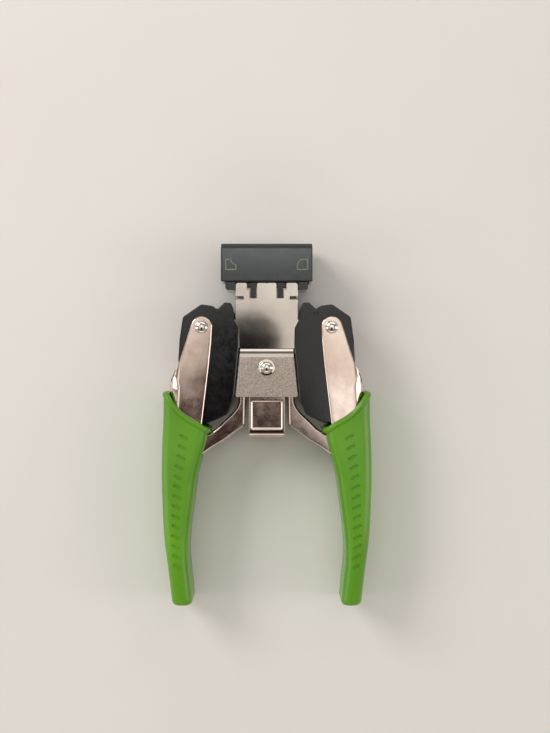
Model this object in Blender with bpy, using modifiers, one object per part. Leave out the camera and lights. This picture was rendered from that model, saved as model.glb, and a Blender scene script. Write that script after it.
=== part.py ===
"""Hand-squeezed corner rounder: two levers drive a carrier whose two punches round a card's corner.

The tool lies on its back. X runs across it, +Y runs from the grips to the head and +Z comes out
of its front. The origin is on the table, under the middle of the tool's outline.
"""

import math

import bmesh
import bpy
from mathutils import Euler, Matrix, Vector

MM = 0.001
LEFT, RIGHT = -1, 1
FRONT, REAR = 1, -1

# ---- Driving dimensions: the stack from the middle plane outwards ----
GAP = 0.3 * MM  # between any two pieces that touch or slide
CORE_HALF = 8.2 * MM  # half depth of the carrier, guide plate and die plate
SHEET = 1.5 * MM  # steel sheet of plates, bridge and lever channels
WING_WALL = 2.2 * MM
WING_AIR = 0.6 * MM  # between an ear of the frame plate and the wing's inner face
DOME_HEIGHT = 1.7 * MM
GRIP_WALL = 2.3 * MM

# ---- Driving dimensions: lengths and places ----
PIVOT_X, PIVOT_Y = 31.25 * MM, 46.8 * MM
CENTRE_RIVET_Y = 27.4 * MM
PLATE_TOP_Y = 68.4 * MM
GRIP_LENGTH = 104.0 * MM  # from the highest point of the collar to the grip's end
COLLAR_TOP_Y = 17.0 * MM
CAP_HALF_WIDTH, CAP_HEIGHT, CAP_HALF_DEPTH = 22.0 * MM, 18.3 * MM, 15.0 * MM
CAP_WALL = 1.5 * MM
SQUEEZE_DEG = 11.0  # a lever's turn from open to fully squeezed

# ---- Driving dimensions: fasteners, springs and the punching parts ----
PIVOT_SHANK_R, PIVOT_DOME_R, PIVOT_SPACER_R = 2.3 * MM, 3.1 * MM, 4.6 * MM
CENTRE_SHANK_R, CENTRE_DOME_R, CENTRE_FLANGE_R = 1.9 * MM, 2.9 * MM, 4.0 * MM
CENTRE_SPACER_R = 2.8 * MM
PIN_R = 1.8 * MM  # cross pins that hold a drive arm in its channel
PUNCH_PIN_R = 1.0 * MM
GUIDE_PIN_R = 0.8 * MM
SPRING_R, SPRING_WIRE_R, SPRING_TURNS = 1.9 * MM, 0.3 * MM, 5
SLOT_HEIGHT = 1.5 * MM  # the card slot
SLOT_Y = 60.3 * MM
GUIDE_HEIGHT, DIE_HEIGHT = 5.2 * MM, 4.2 * MM
CORNER_TIP_X = 2.6 * MM  # how near the middle a card's corner reaches
STUB_R, STUB_CENTRE_PAST_TIP = 8.5 * MM, 2.7 * MM
DECO_R, DECO_DEPTH = 9.4 * MM, 4.0 * MM
CARRIER_HALF_WIDTH = 12.5 * MM
CARRIER_TOP_Y, CARRIER_BOTTOM_Y = 44.0 * MM, 17.2 * MM

# ---- Worked out from the sizes above ----
PLATE_IN, PLATE_OUT = CORE_HALF + GAP, CORE_HALF + GAP + SHEET
LOWER_IN, LOWER_OUT = PLATE_OUT + GAP, PLATE_OUT + GAP + SHEET
WING_IN = PLATE_OUT + WING_AIR
WING_OUT = WING_IN + WING_WALL
FLANGE_IN, FLANGE_OUT = WING_OUT + GAP, WING_OUT + GAP + SHEET
DOME_BASE = FLANGE_OUT + GAP
GRIP_HALF = FLANGE_OUT + GAP + GRIP_WALL
MIDDLE_Z = max(GRIP_HALF, DOME_BASE + DOME_HEIGHT, CAP_HALF_DEPTH)
PIVOT_HOLE_R = PIVOT_SHANK_R + GAP
ROUND = 20  # sides of a round hole or pin

parts = bpy.data.collections.new("corner_rounder")
cutters = bpy.data.collections.new("cutters")


def clear_scene():
    for obj in list(bpy.data.objects):
        bpy.data.objects.remove(obj)
    for collection in (parts, cutters):
        bpy.context.scene.collection.children.link(collection)


def srgb(hex_colour):
    """A hex colour as the linear colour that a shader takes."""
    values = [int(hex_colour[i : i + 2], 16) / 255 for i in (1, 3, 5)]
    return [v / 12.92 if v <= 0.04045 else ((v + 0.055) / 1.055) ** 2.4 for v in values] + [1.0]


def finish(obj, hex_colour, roughness, metallic, parent=None):
    """Puts a finished piece in the parts collection, with its own material."""
    material = bpy.data.materials.new(obj.name)
    material.use_nodes = True
    shader = material.node_tree.nodes["Principled BSDF"]
    shader.inputs["Base Color"].default_value = srgb(hex_colour)
    shader.inputs["Roughness"].default_value = roughness
    shader.inputs["Metallic"].default_value = metallic
    material.diffuse_color = srgb(hex_colour)
    obj.data.materials.clear()
    obj.data.materials.append(material)
    parts.objects.link(obj)
    if parent:
        bpy.context.view_layer.update()
        obj.parent = parent
        obj.matrix_parent_inverse = parent.matrix_world.inverted()
    return obj


def steel(obj, parent=None):
    return finish(obj, "#B9B2AB", 0.3, 1.0, parent)


def chrome(obj, parent=None):
    return finish(obj, "#CFCBC7", 0.08, 1.0, parent)


def black_plastic(obj, parent=None):
    return finish(obj, "#242628", 0.25, 0.0, parent)


def cutter(obj):
    cutters.objects.link(obj)
    obj.hide_render = True
    obj.display_type = "WIRE"
    return obj


def combine(target, other, operation):
    """Adds a Boolean; the other piece stays as a wire cutter."""
    modifier = target.modifiers.new(operation.lower() + "_" + other.name, "BOOLEAN")
    modifier.operation = operation
    modifier.object = cutter(other)
    return target


def cut(target, *others):
    for other in others:
        combine(target, other, "DIFFERENCE")
    return target


def join(target, *others):
    for other in others:
        combine(target, other, "UNION")
    return target


def new_object(name, mesh):
    """An object in no collection yet; finish or cutter links it."""
    mesh.name = name
    return bpy.data.objects.new(name, mesh)


# ---- Outlines ----


def rounded(corners, steps=4):
    """The points of a closed outline. A corner is (x, y) or (x, y, radius)."""
    points = []
    for i, corner in enumerate(corners):
        here = Vector(corner[:2])
        if len(corner) == 2:
            points.append(here)
            continue
        radius = corner[2]
        back = (Vector(corners[i - 1][:2]) - here).normalized()
        ahead = (Vector(corners[(i + 1) % len(corners)][:2]) - here).normalized()
        half = back.angle(ahead) / 2
        centre = here + (back + ahead).normalized() * radius / math.sin(half)
        first = here + back * radius / math.tan(half) - centre
        last = here + ahead * radius / math.tan(half) - centre
        start = math.atan2(first.y, first.x)
        sweep = (math.atan2(last.y, last.x) - start + math.pi) % math.tau - math.pi
        for k in range(steps + 1):
            angle = start + sweep * k / steps
            points.append(centre + radius * Vector((math.cos(angle), math.sin(angle))))
    return points


def circle(x, y, radius, sides=ROUND):
    turns = [math.tau * k / sides for k in range(sides)]
    return [Vector((x + radius * math.cos(a), y + radius * math.sin(a))) for a in turns]


def mirrored(points, side):
    return [Vector((side * p[0], p[1])) for p in points]


def in_mm(rows):
    return [tuple(value * MM for value in row) for row in rows]


def box_outline(x0, x1, y0, y1, radius=0.0):
    corners = [(x0, y0), (x1, y0), (x1, y1), (x0, y1)]
    return rounded([c + (radius,) for c in corners]) if radius else [Vector(c) for c in corners]


# ---- Solids ----

ALONG = {
    "Z": Euler((0, 0, 0)).to_matrix(),
    "Y": Euler((math.pi / 2, 0, 0)).to_matrix(),  # outline's y becomes z
    "X": Matrix(((0, 0, 1), (1, 0, 0), (0, 1, 0))),  # outline's x, y become y, z
}


def prism(name, outline, low, high, holes=(), along="Z", thin=False):
    """An outline filled and extruded from low to high along an axis; z counts from the middle plane."""
    curve = bpy.data.curves.new(name, "CURVE")
    curve.dimensions = "2D"
    curve.fill_mode = "BOTH"
    curve.extrude = 0.0 if thin else (high - low) / 2
    for loop in (outline, *holes):
        spline = curve.splines.new("POLY")
        spline.points.add(len(loop) - 1)
        for point, place in zip(spline.points, loop):
            point.co = (place[0], place[1], 0.0, 1.0)
        spline.use_cyclic_u = True
    drawn = bpy.data.objects.new(name, curve)
    parts.objects.link(drawn)
    half_way = (low + high) / 2
    # The Y axis points the other way from the outline's own normal, so the place is set by hand.
    place = {"Z": (0, 0, MIDDLE_Z + half_way), "Y": (0, half_way, 0), "X": (half_way, 0, 0)}[along]
    drawn.matrix_world = Matrix.Translation(place) @ ALONG[along].to_4x4()
    bpy.context.view_layer.update()
    graph = bpy.context.evaluated_depsgraph_get()
    mesh = bpy.data.meshes.new_from_object(drawn.evaluated_get(graph))
    where = drawn.matrix_world.copy()
    bpy.data.objects.remove(drawn)
    solid = new_object(name, mesh)
    solid.matrix_world = where
    bm = bmesh.new()
    bm.from_mesh(mesh)
    bmesh.ops.remove_doubles(bm, verts=bm.verts, dist=0.00001)
    bm.to_mesh(mesh)
    bm.free()
    mesh.materials.clear()
    return solid


def rod(name, x, y, radius, low, high):
    """A round bar along Z between two heights over the middle plane."""
    return prism(name, circle(x, y, radius), low, high)


def turned(name, profile, x, y, steps=ROUND):
    """A profile of (radius, height) points, from top to bottom, turned about Z."""
    mesh = bpy.data.meshes.new(name)
    rows = [(radius, 0.0, height) for radius, height in profile]
    mesh.from_pydata(rows, [(i, i + 1) for i in range(len(rows) - 1)], [])
    obj = new_object(name, mesh)
    obj.location = (x, y, MIDDLE_Z)
    screw = obj.modifiers.new("turn", "SCREW")
    screw.steps = screw.render_steps = steps
    screw.use_merge_vertices = True
    screw.merge_threshold = 0.00001
    return obj


def dome(base_radius, height, base_height, steps=4):
    """The profile of a rivet's domed head, from its crown to its rim."""
    angles = [math.pi / 2 * k / steps for k in range(steps + 1)]
    return [(base_radius * math.sin(a), base_height + height * math.cos(a)) for a in angles]


def smooth(obj):
    """Round faces shade smooth and edges stay crisp."""
    obj.data.shade_smooth()
    obj.data.set_sharp_from_angle(angle=math.radians(40))
    return obj


def bevelled(obj, width, segments=2, angle=40):
    modifier = obj.modifiers.new("edges", "BEVEL")
    modifier.width = width
    modifier.segments = segments
    modifier.limit_method = "ANGLE"
    modifier.angle_limit = math.radians(angle)
    return obj


def empty_at(name, x, y):
    obj = bpy.data.objects.new(name, None)
    obj.empty_display_size = 0.01
    obj.location = (x, y, MIDDLE_Z)
    parts.objects.link(obj)
    bpy.context.view_layer.update()
    return obj


# ---- The frame: two plates, the bridge at the bottom and the centre rivet ----

JOGGLE_TOP_Y, JOGGLE_END_Y = 35.9 * MM, 32.4 * MM
EAR_R = 6.0 * MM


def frame_plate_outline():
    """One plate seen from the front: prongs, card slits, waist, ears behind the wings, lower end."""
    half = in_mm([
        (0.0, 68.0),
        (0.5, 68.4),
        (4.1, 68.4),
        (4.75, 67.8),
        (4.75, 60.8),
        (8.3, 60.8),
        (8.3, 64.9),
        (9.5, 64.9),
        (9.5, 67.8),
        (10.1, 68.4),
        (14.3, 68.4),
        (15.05, 67.4),
        (15.05, 61.8),
        (11.1, 61.8),
        (11.1, 60.3),
        (15.05, 60.3),
        (15.05, 50.4),
    ])
    ear_top = [
        Vector((PIVOT_X + EAR_R * math.cos(a), PIVOT_Y + EAR_R * math.sin(a)))
        for a in [math.radians(100 - 200 * k / 10) for k in range(11)]
    ]
    lower = in_mm([(12.9, 36.6), (12.9, 35.9), (13.1, 32.4), (15.0, 14.0), (14.6, 13.2)])
    right = [Vector(p) for p in half] + ear_top + [Vector(p) for p in lower]
    return right + mirrored(reversed(right[1:]), LEFT)


def frame_plate(name, face):
    """A plate with its lower end stepped outwards over the bridge's leg."""
    holes = [
        circle(PIVOT_X, PIVOT_Y, PIVOT_HOLE_R),
        circle(-PIVOT_X, PIVOT_Y, PIVOT_HOLE_R),
        circle(0.0, CENTRE_RIVET_Y, CENTRE_SHANK_R + GAP),
    ]
    plate = prism(name, frame_plate_outline(), face * PLATE_IN, face * PLATE_IN, holes, thin=True)
    bm = bmesh.new()
    bm.from_mesh(plate.data)
    for y in (JOGGLE_TOP_Y, JOGGLE_END_Y):
        everything = list(bm.verts) + list(bm.edges) + list(bm.faces)
        bmesh.ops.bisect_plane(bm, geom=everything, dist=1e-7, plane_co=(0, y, 0), plane_no=(0, 1, 0))
    for vert in bm.verts:
        if vert.co.y < JOGGLE_END_Y + 1e-6:
            vert.co.z += face * (LOWER_IN - PLATE_IN)
    bm.normal_update()
    bm.to_mesh(plate.data)
    bm.free()
    shell = plate.modifiers.new("sheet", "SOLIDIFY")
    shell.thickness = SHEET
    shell.offset = face
    return steel(plate)


BRIDGE_HALF_WIDTH = 8.6 * MM
BRIDGE_BOTTOM_Y, BRIDGE_TOP_Y = -6.5 * MM, 31.4 * MM


def bottom_bridge():
    """The strap that joins the two plates under the levers' noses, a U seen from the side."""
    out, wide = PLATE_OUT, PLATE_IN
    corners = [
        (BRIDGE_TOP_Y, out),
        (BRIDGE_BOTTOM_Y, out, 3.0 * MM),
        (BRIDGE_BOTTOM_Y, -out, 3.0 * MM),
        (BRIDGE_TOP_Y, -out),
        (BRIDGE_TOP_Y, -wide),
        (BRIDGE_BOTTOM_Y + SHEET, -wide, 3.0 * MM - SHEET),
        (BRIDGE_BOTTOM_Y + SHEET, wide, 3.0 * MM - SHEET),
        (BRIDGE_TOP_Y, wide),
    ]
    outline = [Vector((p.x, p.y + MIDDLE_Z)) for p in rounded(corners)]
    strap = prism("bottom_bridge", outline, -BRIDGE_HALF_WIDTH, BRIDGE_HALF_WIDTH, along="X")
    bore = rod("bridge_bore", 0.0, CENTRE_RIVET_Y, CENTRE_SHANK_R + GAP, -LOWER_IN, LOWER_IN)
    return chrome(cut(strap, bore))


def rivet(name, x, y, shank_radius, dome_radius, dome_base, flange_radius=0.0, flange=0.0):
    """A rivet with a domed head at each face, and a flat flange under each dome if asked for."""
    head = dome(dome_radius, DOME_HEIGHT, dome_base + flange)
    if flange:
        head += [(flange_radius, dome_base + flange), (flange_radius, dome_base)]
    head.append((shank_radius, dome_base))
    profile = head + [(radius, -height) for radius, height in reversed(head)]
    profile[0], profile[-1] = (0.0, profile[0][1]), (0.0, profile[-1][1])
    return chrome(smooth(turned(name, profile, x, y)))


def tube(name, x, y, outer, inner, half_length):
    return steel(smooth(prism(name, circle(x, y, outer), -half_length, half_length, [circle(x, y, inner)])))


# ---- The head: cap, die holder, die plate, stop and guide plate ----

HOLDER_HALF_WIDTH, HOLDER_BOTTOM_Y, HOLDER_TOP_Y = 19.9 * MM, 64.7 * MM, 74.0 * MM
DIE_HALF_WIDTH = 14.6 * MM
HOLDER_HALF_DEPTH = 12.4 * MM
CAP_BOTTOM_Y = PLATE_TOP_Y + GAP
DIE_BOTTOM_Y = SLOT_Y + SLOT_HEIGHT
GUIDE_TOP_Y = SLOT_Y
PUNCH_BACK_X = CORNER_TIP_X - 1.0 * MM
PUNCH_TOP_Y = GUIDE_TOP_Y - 0.4 * MM
PUNCH_ROOT_Y = 38.3 * MM


def stub_outline(grow=0.0):
    """The left punch's section: a convex arc that bites a round notch out of the corner."""
    centre = STUB_CENTRE_PAST_TIP - CORNER_TIP_X
    radius, half, back = STUB_R + grow, 6.0 * MM + grow, -PUNCH_BACK_X + grow
    spread = math.asin(half / radius)
    arc = [math.pi - spread + 2 * spread * k / 12 for k in range(13)]
    points = [Vector((centre + radius * math.cos(a), radius * math.sin(a) + MIDDLE_Z)) for a in arc]
    return points + [Vector((back, MIDDLE_Z - half)), Vector((back, MIDDLE_Z + half))]


def deco_outline(grow=0.0):
    """The right punch's section: a concave arc that leaves the corner round, with a step each side."""
    centre = CORNER_TIP_X + DECO_DEPTH + DECO_R
    radius, back = DECO_R - grow, PUNCH_BACK_X - grow
    half = 6.6 * MM + grow
    step = 0.45 * MM
    spread = math.asin((half - step) / radius)
    arc = [math.pi - spread + 2 * spread * k / 12 for k in range(13)]
    points = [Vector((centre + radius * math.cos(a), radius * math.sin(a) + MIDDLE_Z)) for a in arc]
    edge = points[0].x
    return [
        Vector((back, MIDDLE_Z + half)),
        Vector((edge, MIDDLE_Z + half)),
        *points,
        Vector((edge, MIDDLE_Z - half)),
        Vector((back, MIDDLE_Z - half)),
    ]


def along_y(name, outline, low, high):
    return prism(name, outline, low, high, along="Y")


def core_plate(name, low, high, half_width, extra_holes=()):
    """A block between the frame plates with both punches' holes through it."""
    face = box_outline(-half_width, half_width, MIDDLE_Z - CORE_HALF, MIDDLE_Z + CORE_HALF)
    holes = [stub_outline(GAP), deco_outline(GAP), *extra_holes]
    return prism(name, face, low, high, holes, along="Y")


def guide_plate():
    seats = [circle(side * SPRING_X, MIDDLE_Z, GUIDE_PIN_R + GAP, 16) for side in (LEFT, RIGHT)]
    plate = core_plate("guide_plate", GUIDE_TOP_Y - GUIDE_HEIGHT, GUIDE_TOP_Y, DIE_HALF_WIDTH, seats)
    return steel(plate)


def die_plate():
    return steel(core_plate("die_plate", DIE_BOTTOM_Y, DIE_BOTTOM_Y + DIE_HEIGHT, DIE_HALF_WIDTH))


def paper_stop():
    """The hourglass in the card slot: each card's corner comes to rest in its waist."""
    waist = CORNER_TIP_X - GAP
    wide = waist + CORE_HALF
    outline = [
        Vector((waist, MIDDLE_Z)),
        Vector((wide, MIDDLE_Z + CORE_HALF)),
        Vector((-wide, MIDDLE_Z + CORE_HALF)),
        Vector((-waist, MIDDLE_Z)),
        Vector((-wide, MIDDLE_Z - CORE_HALF)),
        Vector((wide, MIDDLE_Z - CORE_HALF)),
    ]
    stop = along_y("paper_stop", outline, SLOT_Y + GAP / 2, DIE_BOTTOM_Y - GAP / 2)
    low, high = SLOT_Y - MM, DIE_BOTTOM_Y + MM
    stub_way = along_y("stop_stub_way", stub_outline(GAP), low, high)
    deco_way = along_y("stop_deco_way", deco_outline(GAP), low, high)
    return steel(cut(stop, stub_way, deco_way))


def die_holder():
    """The plastic block round the die, with fingers that snap into the plates' notches."""
    outline = rounded([
        (-HOLDER_HALF_WIDTH, HOLDER_BOTTOM_Y, 1.4 * MM),
        (HOLDER_HALF_WIDTH, HOLDER_BOTTOM_Y, 1.4 * MM),
        (HOLDER_HALF_WIDTH, HOLDER_TOP_Y),
        (-HOLDER_HALF_WIDTH, HOLDER_TOP_Y),
    ])
    block = prism("die_holder", outline, -HOLDER_HALF_DEPTH, HOLDER_HALF_DEPTH)
    die_room = DIE_HALF_WIDTH + GAP
    die_top = DIE_BOTTOM_Y + DIE_HEIGHT + GAP
    plate_room = 15.05 * MM + GAP
    deep = HOLDER_HALF_DEPTH + MM
    pocket = prism("die_pocket", box_outline(-die_room, die_room, 60 * MM, die_top), -deep, deep)
    fronts = [
        prism(
            f"plate_pocket_{tag}",
            box_outline(-plate_room, plate_room, 60 * MM, PLATE_TOP_Y + GAP),
            *sorted((face * CORE_HALF, face * deep)),
        )
        for face, tag in ((FRONT, "front"), (REAR, "rear"))
    ]
    chute = along_y(
        "chip_chute",
        box_outline(-11.5 * MM, 11.5 * MM, MIDDLE_Z - 7.2 * MM, MIDDLE_Z + 7.2 * MM),
        60 * MM,
        HOLDER_TOP_Y + MM,
    )
    cut(block, pocket, *fronts, chute)
    for side, tag in ((LEFT, "left"), (RIGHT, "right")):
        for face, end in ((FRONT, "front"), (REAR, "rear")):
            finger = box_outline(
                side * 6.5 * MM - 1.4 * MM, side * 6.5 * MM + 1.4 * MM, 61.2 * MM, HOLDER_TOP_Y - 3 * MM
            )
            heights = sorted((face * PLATE_IN, face * (PLATE_OUT - GAP)))
            join(block, prism(f"finger_{tag}_{end}", finger, *heights))
    return black_plastic(block)


def head_cap():
    """The chip catcher: a box that is open at the bottom and slides over the die holder."""
    top = CAP_BOTTOM_Y + CAP_HEIGHT
    outline = box_outline(-CAP_HALF_WIDTH, CAP_HALF_WIDTH, CAP_BOTTOM_Y, top)
    cap = bevelled(prism("head_cap", outline, -CAP_HALF_DEPTH, CAP_HALF_DEPTH), 1.2 * MM)
    room = prism(
        "cap_room",
        box_outline(
            CAP_WALL - CAP_HALF_WIDTH, CAP_HALF_WIDTH - CAP_WALL, CAP_BOTTOM_Y - 2 * MM, top - CAP_WALL
        ),
        CAP_WALL - CAP_HALF_DEPTH,
        CAP_HALF_DEPTH - CAP_WALL,
    )
    return black_plastic(cut(cap, room))


# ---- The carrier with its punches, pins and springs ----

SPRING_X = STUB_R - (STUB_CENTRE_PAST_TIP - CORNER_TIP_X) + GAP + SPRING_R + SPRING_WIRE_R
SPRING_LOW_Y = CARRIER_TOP_Y + GAP
SPRING_HIGH_Y = GUIDE_TOP_Y - GUIDE_HEIGHT - GAP


def stroke():
    """How far the carrier rises for a full squeeze: the nose's rise about the pivot."""
    reach_x, reach_y = PIVOT_X - NOSE_X, NOSE_Y - PIVOT_Y
    turn = math.radians(SQUEEZE_DEG)
    return reach_x * math.sin(turn) + reach_y * math.cos(turn) - reach_y


def carrier_block(parent):
    slot_half = CENTRE_SPACER_R + GAP
    slot = box_outline(
        -slot_half, slot_half, CENTRE_RIVET_Y - slot_half - stroke(), CENTRE_RIVET_Y + slot_half
    )
    outline = box_outline(
        -CARRIER_HALF_WIDTH, CARRIER_HALF_WIDTH, CARRIER_BOTTOM_Y, CARRIER_TOP_Y, 1.0 * MM
    )
    block = prism("carrier_block", outline, -CORE_HALF, CORE_HALF, [slot])
    ways = [
        along_y("carrier_stub_seat", stub_outline(GAP), PUNCH_ROOT_Y - GAP, CARRIER_TOP_Y + MM),
        along_y("carrier_deco_seat", deco_outline(GAP), PUNCH_ROOT_Y - GAP, CARRIER_TOP_Y + MM),
    ]
    for side, tag in ((LEFT, "left"), (RIGHT, "right")):
        bore = circle(side * SPRING_X, MIDDLE_Z, GUIDE_PIN_R + GAP, 16)
        ways.append(along_y(f"carrier_{tag}_bore", bore, 33.0 * MM, CARRIER_TOP_Y + MM))
        pin_way = circle(side * PUNCH_PIN_X, PUNCH_PIN_Y, PUNCH_PIN_R + GAP, 16)
        ways.append(prism(f"carrier_{tag}_pin_way", pin_way, -CORE_HALF - MM, CORE_HALF + MM))
    return steel(cut(block, *ways), parent)


PUNCH_PIN_X, PUNCH_PIN_Y = 4.1 * MM, 41.2 * MM


def punch(name, side, outline, parent):
    body = along_y(name, outline, PUNCH_ROOT_Y, PUNCH_TOP_Y)
    way = circle(side * PUNCH_PIN_X, PUNCH_PIN_Y, PUNCH_PIN_R + GAP, 16)
    return steel(cut(body, prism(f"{name}_pin_way", way, -CORE_HALF, CORE_HALF)), parent)


def punch_pin(name, side, parent):
    pin = circle(side * PUNCH_PIN_X, PUNCH_PIN_Y, PUNCH_PIN_R, 16)
    return steel(smooth(prism(name, pin, -CORE_HALF, CORE_HALF)), parent)


def guide_pin(name, side):
    pin = circle(side * SPRING_X, MIDDLE_Z, GUIDE_PIN_R, 16)
    return steel(smooth(along_y(name, pin, 38.0 * MM, GUIDE_TOP_Y - 0.2 * MM)))


def return_spring(name, side):
    """A coil round the guide pin, between the carrier and the guide plate."""
    low, high = SPRING_LOW_Y + SPRING_WIRE_R, SPRING_HIGH_Y - SPRING_WIRE_R
    curve = bpy.data.curves.new(name, "CURVE")
    curve.dimensions = "3D"
    curve.bevel_depth = SPRING_WIRE_R
    curve.bevel_resolution = 2
    curve.use_fill_caps = True
    count = SPRING_TURNS * 9 + 1
    spline = curve.splines.new("POLY")
    spline.points.add(count - 1)
    for k, point in enumerate(spline.points):
        share = k / (count - 1)
        angle = math.tau * SPRING_TURNS * share
        x, z = SPRING_R * math.cos(angle), SPRING_R * math.sin(angle)
        point.co = (side * SPRING_X + x, low + (high - low) * share, MIDDLE_Z + z, 1.0)
    return steel(bpy.data.objects.new(name, curve))


# ---- The wings: plastic housings over the plates' ears ----


def wing_outline(side):
    """One wing seen from the front, from its outer shoulder round the top to its foot."""
    foot_r = 46.2 * MM
    foot = [
        Vector((PIVOT_X + foot_r * math.sin(a), PIVOT_Y - foot_r * math.cos(a)))
        for a in [math.radians(t) for t in (-5.0, -2.0, 1.2)]
    ]
    outline = rounded(in_mm([
        (42.6, 30.5),
        (42.0, 40.8),
        (40.4, 51.8),
        (31.5, 57.9),
        (25.9, 57.1),
        (23.8, 55.4),
        (20.3, 58.9),
        (17.0, 58.3),
        (16.1, 55.3),
        (15.4, 50.2),
        (13.5, 46.5),
        (13.3, 38.0),
        (13.9, 32.5),
        (15.7, 13.2),
        (18.7, 4.8),
        (24.2, 2.2),
    ]))
    # Above Y = 26.6 the wing steps out over the channel's back, which swings in beside it.
    outline += foot + rounded(in_mm([(34.0, 8.0), (36.6, 18.0), (36.2, 26.9), (41.6, 27.5)]))
    return mirrored(outline, side)


def inset(points, wall):
    """The outline moved inwards by a wall's thickness."""
    area = sum(a.cross(b) for a, b in zip(points, points[1:] + points[:1]))
    inwards = 1 if area > 0 else -1
    moved = []
    for i, here in enumerate(points):
        back = (here - points[i - 1]).normalized()
        ahead = (points[(i + 1) % len(points)] - here).normalized()
        normal = Vector((-back.y - ahead.y, back.x + ahead.x)).normalized() * inwards
        lean = normal.dot(Vector((-back.y, back.x)) * inwards)
        moved.append(here + normal * wall / max(lean, 0.5))
    return moved


def wing(name, side, face):
    """A cup with its open side at the middle plane and a way in for the plate's ear."""
    outline = wing_outline(side)
    shell = prism(name, outline, *sorted((face * GAP / 2, face * WING_OUT)))
    room = prism(f"{name}_room", inset(outline, WING_WALL), *sorted((-face * MM, face * WING_IN)))
    way_in = box_outline(*sorted((side * 12.0 * MM, side * 21.5 * MM)), 35.4 * MM, 54.2 * MM)
    ear_way = prism(f"{name}_ear_way", way_in, *sorted((-2 * face * MM, face * (PLATE_OUT + GAP))))
    bore = rod(f"{name}_bore", side * PIVOT_X, PIVOT_Y, PIVOT_HOLE_R, -FLANGE_IN, FLANGE_IN)
    return black_plastic(cut(shell, room, ear_way, bore))


# ---- The levers: a steel channel, the arm that pushes the carrier, its pins and the grip ----

NOSE_X, NOSE_Y, NOSE_R = 11.8 * MM, 15.3 * MM, 1.6 * MM
ARM_HALF = 8.0 * MM
ARM_PINS = in_mm([(38.6, -9.6), (42.6, -14.6)])
CHEEK_END_Y = -20.8 * MM
POCKET_END_Y = CHEEK_END_Y - 2 * GAP
BLADE_END_Y = COLLAR_TOP_Y - GRIP_LENGTH + 26.0 * MM


def back_line(inwards=0.0):
    """The outer face of the channel's back, from the flange's shoulder down to the blade's end."""
    rows = [(43.7, 26.4), (45.4, 22.8), (46.4, 19.6), (46.7, 17.0), (47.2, 8.0), (47.5, -8.0)]
    line = [Vector((x * MM - inwards, y * MM)) for x, y in rows]
    blade_length = CHEEK_END_Y - BLADE_END_Y
    for x, share in ((47.9, 0.0), (47.6, 0.38), (46.9, 0.63), (45.6, 1.0)):
        line.append(Vector((x * MM - inwards, CHEEK_END_Y - share * blade_length)))
    return line


def channel_outline():
    """The eye round the pivot, the cheek that widens down into the grip, and the blade below it."""
    eye_r = 5.2 * MM
    eye = [
        Vector((PIVOT_X + eye_r * math.cos(a), PIVOT_Y + eye_r * math.sin(a)))
        for a in [math.radians(168 - 150 * k / 10) for k in range(11)]
    ]
    shoulder = [Vector(p) for p in in_mm([(39.6, 37.7), (42.4, 28.8)])]
    blade = [p for p in reversed(back_line(SHEET)) if p.y < CHEEK_END_Y + 0.1 * MM]
    inner = in_mm([(33.4, -12.0), (31.0, 1.0), (27.8, 28.0), (26.6, 40.0)])
    cheek = [Vector((37.2 * MM, CHEEK_END_Y + 0.8 * MM))] + [Vector(p) for p in inner]
    return eye + shoulder + back_line() + blade + cheek


def channel_room():
    """What is cut from between the cheeks: all of it but the back."""
    back = [p for p in back_line(SHEET) if p.y > CHEEK_END_Y + MM]
    floor = Vector((back[-1].x, CHEEK_END_Y + 1.5 * MM))
    below, above = CHEEK_END_Y - 2 * MM, 60 * MM
    ends = [Vector((44 * MM, below)), Vector((20 * MM, below)), Vector((20 * MM, above))]
    top = [Vector((60 * MM, above)), Vector((60 * MM, 26.6 * MM)), Vector((41 * MM, 26.6 * MM))]
    return back + [floor] + ends + top


def lever_channel(name, side, parent):
    hole = [circle(side * PIVOT_X, PIVOT_Y, PIVOT_HOLE_R)]
    hole += [circle(side * x, y, PIN_R + GAP, 20) for x, y in ARM_PINS]
    channel = prism(name, mirrored(channel_outline(), side), -FLANGE_OUT, FLANGE_OUT, hole)
    room = prism(f"{name}_room", mirrored(channel_room(), side), -FLANGE_IN, FLANGE_IN)
    return chrome(cut(channel, room), parent)


def drive_arm(name, side, parent):
    """From its seat in the channel the arm passes under the wing and turns up to its nose."""
    nose = [
        Vector((NOSE_X + NOSE_R * math.cos(a), NOSE_Y + NOSE_R * math.sin(a)))
        for a in [math.radians(180 * k / 8) for k in range(9)]
    ]
    outer = rounded(in_mm([
        (10.2, -0.4, 1.5),
        (14.5, -3.4),
        (20.0, -7.5),
        (27.0, -11.8),
        (34.0, -16.8),
        (45.2, -18.6, 1.5),
        (45.2, -6.4, 1.5),
        (33.0, -6.0),
        (28.0, -4.6),
        (24.0, -1.8),
        (20.3, 2.0),
        (16.6, 5.4),
        (14.6, 8.0),
        (13.6, 10.5),
    ]))
    outline = mirrored(nose + outer, side)
    holes = [circle(side * x, y, PIN_R + GAP, 20) for x, y in ARM_PINS]
    return steel(prism(name, outline, -ARM_HALF, ARM_HALF, holes), parent)


def arm_pin(name, side, place, parent):
    return steel(smooth(rod(name, side * place[0], place[1], PIN_R, -FLANGE_OUT, FLANGE_OUT)), parent)


def ring(y, outer, inner, half_depth, corner):
    """A rounded rectangle across the grip, as points in space."""
    section = rounded([
        (outer, half_depth, corner),
        (inner, half_depth, corner),
        (inner, -half_depth, corner),
        (outer, -half_depth, corner),
    ])
    return [Vector((p.x, y, MIDDLE_Z + p.y)) for p in section]


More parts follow.
